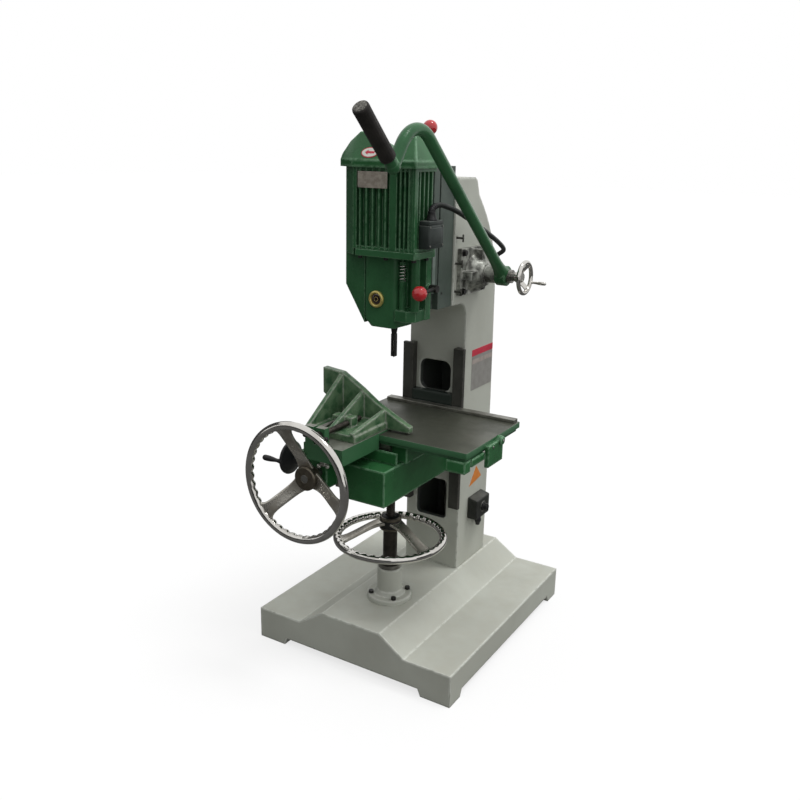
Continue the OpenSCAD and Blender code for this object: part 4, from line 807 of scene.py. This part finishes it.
def rounded_outline(width, height, corner, steps=6):
    """Rectangle with quarter circles at its corners, as (across, up) points."""
    a = np.linspace(0, math.pi / 2, steps)
    quarters = []
    for k, (sx, sy) in enumerate(((1, 1), (-1, 1), (-1, -1), (1, -1))):
        across = sx * (width / 2 - corner) + corner * np.cos(a + k * math.pi / 2)
        above = sy * (height / 2 - corner) + corner * np.sin(a + k * math.pi / 2)
        quarters.append(np.stack([across, above], -1))
    return np.concatenate(quarters)


plate("nameplate", rounded_outline(0.092, 0.042, 0.002), 0.0012, (-0.034, -0.2261, 1.371), -Y, bare_plate,
      "head", ["head_plates"])
rivet = mm(0, -0.2, 1.7, -0.2, 1.6, 0.6, 0.9, 1.1, 0, 1.2)
piece("nameplate_rivets", [turned(rivet, (-0.034 + sx * 0.0425, -0.2272, 1.371 + sz * 0.0175), -Y, steps=20)
                           for sx in (-1, 1) for sz in (-1, 1)], turned_steel, "head")
spot, out = where_seen(370, 152.5, "fan_cowl")
oval = np.stack(box_loop(48, 2), -1)
plate("arrow_oval", oval * (0.0265, 0.0155), 0.0009, spot, out, red_film, "head")
plate("arrow_field", oval * (0.024, 0.013), 0.0005, spot + out * 0.0008, out, white_film, "head")
arrow = np.array(mm(-15, 0, -5, 7.5, -5, 3, 15, 3, 15, -3, -5, -3, -5, -7.5))
plate("arrow_mark", arrow, 0.0004, spot + out * 0.0012, out, red_film, "head")
print("arrow sits at", [round(v, 3) for v in spot])

# %% Terminal box with a lid, its screws and the ribbed gland
def box_grid(size, centre, corner=0.12, edge=0.0015):
    """Block with rounded upright corners: one outline carried up, drawn in at both ends by edge."""
    w, d, h = size
    half = [(h / 2 - edge, 0), (h / 2 - edge * 0.4, edge * 0.25), (h / 2, edge)]
    levels = [(-z, g) for z, g in half[::-1]] + half
    return stacked(rounded_outline(w, d, corner * min(w, d)), levels, centre)


body_box = box_grid((0.0315, 0.079, 0.06), (0.1122, -0.165, 1.23))
lid = box_grid((0.03, 0.076, 0.0118), (0.112, -0.165, 1.266))
panel = box_grid((0.003, 0.056, 0.042), (0.1268, -0.165, 1.232), 0.3, 0.0008)
piece("terminal_case", [body_box, lid, panel], box_plastic, "head", replaces=["terminal_box"])
screw = mm(1.1, 0.8, 1.1, 1.6, 1.9, 1.8, 2.5, 1.2, 2.6, 0, 0, 0, 0, 0.8)
piece("terminal_screws", [turned(screw, (0.1283, -0.165 + sy * 0.033, 1.232 + sz * 0.024), X, steps=20)
                          for sy in (-1, 1) for sz in (-1, 1)], turned_steel, "head")
rings = np.arange(9)
gland = mm(0, 1271.6, 14.2, 1271.6, 14.8, 1272.2, 14.8, 1275.2)
gland += [(0.014 - 0.00052 * k - 0.0007 * (k % 2), 1.2762 + 0.0017 * k) for k in rings]
gland += mm(7.6, 1290.5, 0, 1290.5)
piece("terminal_gland", [turned(gland, (0.112, -0.165, 0), Z, steps=48)], black_moulding, "head")

# %% Compression spring of the depth latch
t = np.linspace(0, 1, 5 * 28 + 1)
flat_end = np.clip(np.minimum(t, 1 - t) / 0.1, 0, 1)
lift = np.cumsum(0.25 + 0.75 * flat_end)
lift = 1.1102 + 0.0396 * (lift - lift[0]) / (lift[-1] - lift[0])
coil = np.stack([0.042 + 0.0088 * np.cos(5 * TURN * t), -0.19 + 0.0088 * np.sin(5 * TURN * t), lift], -1)
piece("latch_coil", [swept(coil, 0.0014, steps=14)], chrome, "head", replaces=["latch_spring"])

# %% Auger in its chisel
# The flute is a radius that depends on the angle and the height together, so the groove climbs.
z = np.linspace(0.0, 0.193, 260)[:, None]
a = np.linspace(0, TURN, 40, endpoint=False)[None]
fade = np.clip((0.15 - z) / 0.02, 0, 1)
cut = np.clip(1.6 * np.abs(np.sin(a - TURN * z / 0.022)), 0, 1) ** 0.8
r = 0.0045 * (1 - fade * 0.45 * (1 - cut))
tip = np.clip((z + 0.0002) / 0.004, 0, 1)
auger = round_points(r * tip, a, z, (0, -0.16, 0.8872))
piece("auger_flutes", [(auger, False, True, True)], turned_steel, "spindle", replaces=["auger_bit"])

# %% [markdown]
# ## The motor lead
# The lead is one round tube along a smooth curve through the points that the solid lead follows. A
# tapered sleeve guards its bend over the terminal box, and a gland holds its other end.

# %% Lead, sleeves and gland at the column
route = np.array([[112, -165, 1290], [112, -165, 1297], [114, -156, 1306], [121, -136, 1310],
                  [128, -108, 1304], [134, -76, 1294], [140, -40, 1279], [146, 0, 1262], [150, 45, 1242],
                  [152, 92, 1222], [152, 136, 1204], [149, 178, 1187], [142, 217, 1172], [130, 250, 1160],
                  [112, 276, 1150], [92, 296, 1140], [75, 312, 1126], [63, 322, 1108], [56, 325, 1089],
                  [54, 319, 1072], [54, 309, 1062], [54, 296, 1062]]) / 1000
course = eased(route)
walked = np.cumsum(np.linalg.norm(np.diff(course, axis=0), axis=1))
lead = piece("motor_lead_sheath", [swept(course, 0.007, steps=24, hint=X)], cable_sheath, None,
             replaces=["motor_lead"])
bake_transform(lead)
start = course[:np.searchsorted(walked, 0.026) + 1]
t = np.linspace(0, 1, len(start))
guard = 0.0102 - 0.0026 * t + 0.0005 * np.sign(np.cos(t * 7 * TURN))
piece("lead_sleeve_motor", [swept(start, guard, steps=40, hint=X)], black_moulding, "head")
gland_body = mm(0, -26, 9, -26, 9, -8.2, 12.6, -8, 13, -7, 13, -1.6, 11, -1, 11, 7.5, 10, 10.5, 0, 10.5)
piece("column_gland", [turned(gland_body, (0.054, 0.2855, 1.062), Y, steps=48)], black_moulding, "frame")
switch_gland = mm(0, 270, 6.8, 270, 7.2, 275, 9, 279, 10.6, 282, 11, 284, 11, 291, 9.8, 292.5, 9.8, 303,
                  0, 303)
piece("switch_gland", [turned(switch_gland, (0.112, 0.198, 0), Z, steps=48)], black_moulding, "frame",
      replaces=["cable_glands"])

# %% [markdown]
# ## Plates, threads and small fittings
# The side label stays bare apart from its red band, and the triangle is plain amber. A thread is again a
# radius that depends on the angle and the height together: going once round moves the groove up by
# one pitch.

# %% Side label, triangle and the switch's knob
plate("side_label", rounded_outline(0.14, 0.108, 0.003), 0.0007, (0.095, 0.209, 0.789), X, grey_film, "frame",
      ["label_plates"])
plate("label_band", rounded_outline(0.142, 0.02, 0.0008), 0.0008, (0.095, 0.209, 0.8535), X, red_film,
      "frame")
plate("label_strip", rounded_outline(0.136, 0.014, 0.0008), 0.0004, (0.0956, 0.209, 0.8255), X, pale_film,
      "frame")
three = np.array(mm(-43.4, -24.2, 40.8, -10.2, 2.5, 34.4))
plate("plain_triangle", three, 0.0008, (0.095, 0.2003, 0.4349), X, amber_film, "frame")
switch_face = (0.129, 0.198, 0.338)
knob_base = mm(0, 0.3, 13.8, 0.3, 14, 1.2, 13.6, 4.6, 10.2, 5.4, 9.6, 16, 8.8, 17, 0, 17.2)
turn_knob = turned(knob_base, switch_face, X, steps=56)
blade = box_grid((0.0142, 0.0062, 0.024), (0.141, 0.198, 0.338), 0.3, 0.0008)
piece("turn_switch", [turn_knob, blade], black_moulding, "switch", replaces=["switch_knob"])
collar = mm(15, 0, 17.8, 0, 18, 0.4, 17.4, 0.9, 15.4, 0.9)
piece("switch_dial", [turned(collar, switch_face, X, steps=72, ring=True)], turned_steel, "frame")

# %% Threads
def thread(low, high, start, direction, radius, pitch, depth, steps=10, around=40, ends=0.002):
    """Screw surface: the radius falls by depth in a flank whose place turns once in each pitch."""
    h = np.linspace(low, high, int((high - low) / pitch * steps))[:, None]
    a = np.linspace(0, TURN, around, endpoint=False)[None]
    along_pitch = (h / pitch - a / TURN) % 1.0
    flank = np.clip(1.6 - 3.2 * np.abs(along_pitch - 0.5), 0, 1)
    taper = np.clip(np.minimum(h - low, high - h) / ends, 0, 1)
    r = radius - depth * (1 - flank) - (1 - taper) * depth
    return round_points(r, a, h, start, direction, None), False, True, True


piece("lift_screw", [thread(0.112, 0.588, (0.008, -0.175, 0), Z, radius=0.013, pitch=0.006, depth=0.0022)],
      oiled_screw, "knee", replaces=["elevating_screw"])
jaw_axis = (-0.04, -0.48, 0.73)
head_knob = mm(0, 0, 9.5, 0, 11.5, 2, 11.5, 24, 10, 26.2, 7.8, 26.2, 7.8, 30, 0, 30)
collar = mm(0, 48.4, 10.5, 48.4, 12, 49.5, 12, 54.5, 10.5, 55.4, 0, 55.4)
piece("jaw_screw_body", [thread(0.028, 0.2118, jaw_axis, Y, radius=0.0078, pitch=0.005, depth=0.0015),
                         turned(head_knob, jaw_axis, Y, steps=56), turned(collar, jaw_axis, Y, steps=56)],
      oiled_screw, "jaw_screw", replaces=["clamp_screw"])
tommy = mm(0, -40.8) + [(0.0065 * math.sin(v), -0.034 - 0.0065 * math.cos(v))
                        for v in np.linspace(0.2, 2.2, 14)]
tommy += [(r, -h) for r, h in tommy[::-1]]
piece("tommy_bar", [turned(tommy, (-0.04, -0.472, 0.73), X, steps=40)], dark_iron, "jaw_screw",
      replaces=["clamp_bar"])

# %% T-handled gib screws, and the bolts
rods = []
for height in (1.06, 1.14, 1.212):
    shank = mm(0, 62, 2.8, 62, 3, 64, 3, 112.5, 3.8, 114, 3.8, 116.5, 0, 117.5)
    bar = mm(0, -11.2, 1.8, -10.8, 2.4, -9.6, 2.4, 9.6, 1.8, 10.8, 0, 11.2)
    rods += [turned(shank, (0, 0.012, height), X, steps=28), turned(bar, (0.115, 0.012, height), Z, steps=24)]
piece("gib_handles", rods, rail_iron, "frame", replaces=["gib_screws"])


def hex_head(place, direction, across, height):
    """Six-sided head whose top corners are turned off: the outline meets a cone near the top."""
    a = np.linspace(0, TURN, 48, endpoint=False)
    six = across / 2 * math.cos(math.pi / 6) / np.cos((a + math.pi / 6) % (math.pi / 3) - math.pi / 6)
    h = np.array([0, 0.0001, 0.66, 0.8, 0.92, 1.0])[:, None] * height
    cone = np.array([across, across, across, across * 0.49, across * 0.465, across * 0.435])[:, None]
    r = np.minimum(six[None], cone)
    return round_points(r, a, h, place, direction, None), False, True, True


quarters = np.arange(4) * TURN / 4 + TURN / 8
feet = [(0.008 + 0.056 * math.cos(v), -0.175 + 0.056 * math.sin(v), 0.166) for v in quarters]
corners = [(0.109, y, z) for y in (0.032, 0.152) for z in (1.059, 1.169)]
washer = mm(0, 0, 9.6, 0, 10, 0.4, 10, 1.6, 9.6, 2, 0, 2)
grids = [hex_head(p, Z, 0.017, 0.008) for p in feet]
grids += [hex_head(np.add(p, (0.0022, 0, 0)), X, 0.017, 0.007) for p in corners]
grids += [turned(washer, p, X, steps=40) for p in corners]
piece("frame_bolt_heads", grids, dark_iron, "frame", replaces=["frame_bolts"], sharp=25)
under = [(-0.077, -0.217, 1.172), (0.005, -0.217, 1.172), (0.092, -0.217, 1.172), (0.092, -0.152, 1.172)]
piece("flange_bolt_heads", [hex_head(p, -Z, 0.0138, 0.0076) for p in under], dark_iron, "head",
      replaces=["flange_bolts"], sharp=25)

# %% [markdown]
# ## Last small things
# A bright strip on the slide's flange, a socket screw below it, the clamping lever of the table
# with its three balls, the stop on the far bracket with two screws, and the table top with its lip.

# %% Strip, screw, lock lever, stop and table lip
strip_shape = rounded_outline(0.015, 0.126, 0.0008)
# The slide's strip is a bright plate on the flange's side.
plate("slide_strip", strip_shape, 0.0007, (0.09, -0.1068, 1.133), X, strip_steel, "head")
spot, out = where_seen(441.3, 293.3, "head_slide")
socket = mm(2.1, -0.4, 2.1, 0.8, 3, 1, 3.7, 0.4, 3.8, -0.4)
piece("slide_socket", [turned(socket, spot, out, steps=28, ring=True)], dark_iron, "head")
lock = np.array([-0.066, -0.4, 0.632])
hub_shape = mm(0, 0.3, 8.6, 0.3, 9.2, 1, 9.2, 8, 7, 10.4, 0, 11)
shaft, arm_shape = mm(0, -24, 4.9, -24, 4.9, 1, 0, 1), mm(0, 0, 3.4, 0, 2.6, 14, 0, 14)
sphere_shape = half_circle(0.0064)
grids = [turned(hub_shape, lock, -Y, steps=48), turned(shaft, lock, -Y, steps=32)]
for degrees in (100, 220, 340):
    way = math.cos(math.radians(degrees)) * X + math.sin(math.radians(degrees)) * Z
    grids += [turned(arm_shape, lock - 0.0066 * Y, way, steps=24, hint=Y),
              turned(sphere_shape, lock + 0.0165 * way - 0.0068 * Y, way, steps=32, hint=Y)]
piece("lock_lever", grids, satin_chrome, "table_clamp", replaces=["table_lock"])
stop_shape = mm(0, 0, 10.8, 0, 12.2, 1.2, 12.2, 7, 11, 8.4, 0, 8.8)
dome_screw = mm(0, 0, 4.2, 0, 4, 1.4, 2.8, 2.6, 0, 3)
piece("far_stop", [turned(stop_shape, (0.3115, -0.096, 0.685), X, steps=56)], green_shell, "table")
piece("stop_screws", [turned(dome_screw, (0.3202, -0.096, 0.685), X, steps=28),
                      turned(dome_screw, (0.3119, -0.142, 0.677), X, steps=28)], turned_steel, "table")


def lipped(low, high, west, east, south, north, lip, inset, soft):
    """Plate whose outline is carried up; below the lip it is drawn in by inset, and its top is rounded."""
    levels = [(low, inset), (lip - 0.001, inset), (lip, 0.001), (lip + 0.001, 0), (high - soft, 0),
              (high - soft * 0.35, soft * 0.3), (high, soft)]
    return stacked(rounded_outline(east - west, north - south, 0.003, 4), levels,
                   ((west + east) / 2, (south + north) / 2, 0))


piece("table_top", [lipped(0.668, 0.695, west=-0.15, east=0.3, south=-0.276, north=0.058, lip=0.6775,
                           inset=0.007, soft=0.0012)], table_finish, "table", replaces=["table_plate"])

# %% [markdown]
# ## Studio
# The photograph is a cut-out on white, lit from above, from behind and from the right. A broad sun and
# a sky that is brighter overhead and to the right give that light. Four dark cards that only
# reflections can see give the chrome something to mirror. The floor is white to the camera, and still
# takes the machine's shadow.

# %% Light, sky and floor
def stage_plane(name, size, place, turned_by=(0, 0, 0)):
    """A flat sheet of the studio, which isn't part of the machine."""
    corner = np.array([[-1, -1], [1, -1], [1, 1], [-1, 1]]) * np.array(size) / 2
    mesh = bpy.data.meshes.new(name)
    mesh.from_pydata([(x, y, 0) for x, y in corner.tolist()], [], [(0, 1, 2, 3)])
    made = bpy.data.objects.new(name, mesh)
    made.location, made.rotation_euler = place, turned_by
    bpy.context.scene.collection.objects.link(made)
    return made


def seen_by_lens(tree):
    """1 for rays from the lens, also by way of a mirror or a glass, and 0 for the rays that light things."""
    ray = add(tree, "ShaderNodeLightPath").outputs
    by_way = maths(tree, "MAXIMUM", ray["Is Glossy Ray"], ray["Is Transmission Ray"])
    return maths(tree, "MAXIMUM", ray["Is Camera Ray"], by_way)


sky = bpy.data.worlds.new("sky")
bpy.context.scene.world = sky
sky.use_nodes = True
tree = sky.node_tree
tree.nodes.clear()
seen = seen_by_lens(tree)
white = add(tree, "ShaderNodeBackground", {"Color": (1, 1, 1, 1), "Strength": 1.0})
way = parts_of(tree, "ShaderNodeTexCoord", "Generated")
overhead = product(tree, way["Z"], maths(tree, "MAXIMUM", way["Z"], 0.0), 1.25)
sideways = product(tree, maths(tree, "MAXIMUM", way["X"], 0.0), 0.65)
sky_light = maths(tree, "ADD", overhead, maths(tree, "ADD", sideways, 0.06))
fill = add(tree, "ShaderNodeBackground", {"Color": (1, 1, 1, 1), "Strength": sky_light})
shown = add(tree, "ShaderNodeMixShader", {0: seen, 1: fill.outputs[0], 2: white.outputs[0]})
tree.links.new(shown.outputs[0], add(tree, "ShaderNodeOutputWorld").inputs["Surface"])

key = bpy.data.lights.new("top light", "SUN")
key.energy, key.angle = 0.9, math.radians(14)
lamp = bpy.data.objects.new("top light", key)
lamp.rotation_euler = Vector((0.34, 0.16, 0.92)).to_track_quat("Z", "Y").to_euler()
bpy.context.scene.collection.objects.link(lamp)

floor = stage_plane("floor", (60, 60), (0, 0, -0.0005))
plain = bpy.data.materials.new("floor white")
plain.use_nodes = True
tree = plain.node_tree
tree.nodes.clear()
seen = seen_by_lens(tree)
pale = blend_of(tree, seen, (0.2, 0.2, 0.19, 1), (1, 1, 1, 1))
matt = add(tree, "ShaderNodeBsdfDiffuse", {"Color": pale})
glow = add(tree, "ShaderNodeEmission", {"Color": (1, 1, 1, 1), "Strength": 1.0})
blended = add(tree, "ShaderNodeMixShader", {0: product(tree, seen, 0.74), 1: matt.outputs[0],
                                            2: glow.outputs[0]})
tree.links.new(blended.outputs[0], add(tree, "ShaderNodeOutputMaterial").inputs["Surface"])
floor.data.materials.append(plain)

flag = bpy.data.materials.new("dark card")
flag.use_nodes = True
flag.node_tree.nodes["Principled BSDF"].inputs["Base Color"].default_value = (0.1, 0.1, 0.1, 1)
flag.node_tree.nodes["Principled BSDF"].inputs["Roughness"].default_value = 1.0
for name, size, place, turned_by in (
        ("card below", (14.0, 14.0), (0.0, 0.0, 0.001), (0, 0, 0)),
        ("card ahead", (7.0, 2.4), (-0.8, -4.2, 0.6), (math.radians(90), 0, 0)),
        ("card left", (7.5, 3.2), (-3.8, 1.4, 1.2), (math.radians(90), 0, math.radians(-80))),
        ("card right", (2.4, 1.4), (3.6, 0.6, 0.7), (math.radians(90), 0, math.radians(80)))):
    card = stage_plane(name.replace(" ", "_"), size, place, turned_by)
    card.data.materials.append(flag)
    card.visible_camera = card.visible_diffuse = card.visible_shadow = card.visible_transmission = False

view = bpy.context.scene.view_settings
view.view_transform = "Standard"
print("studio set")
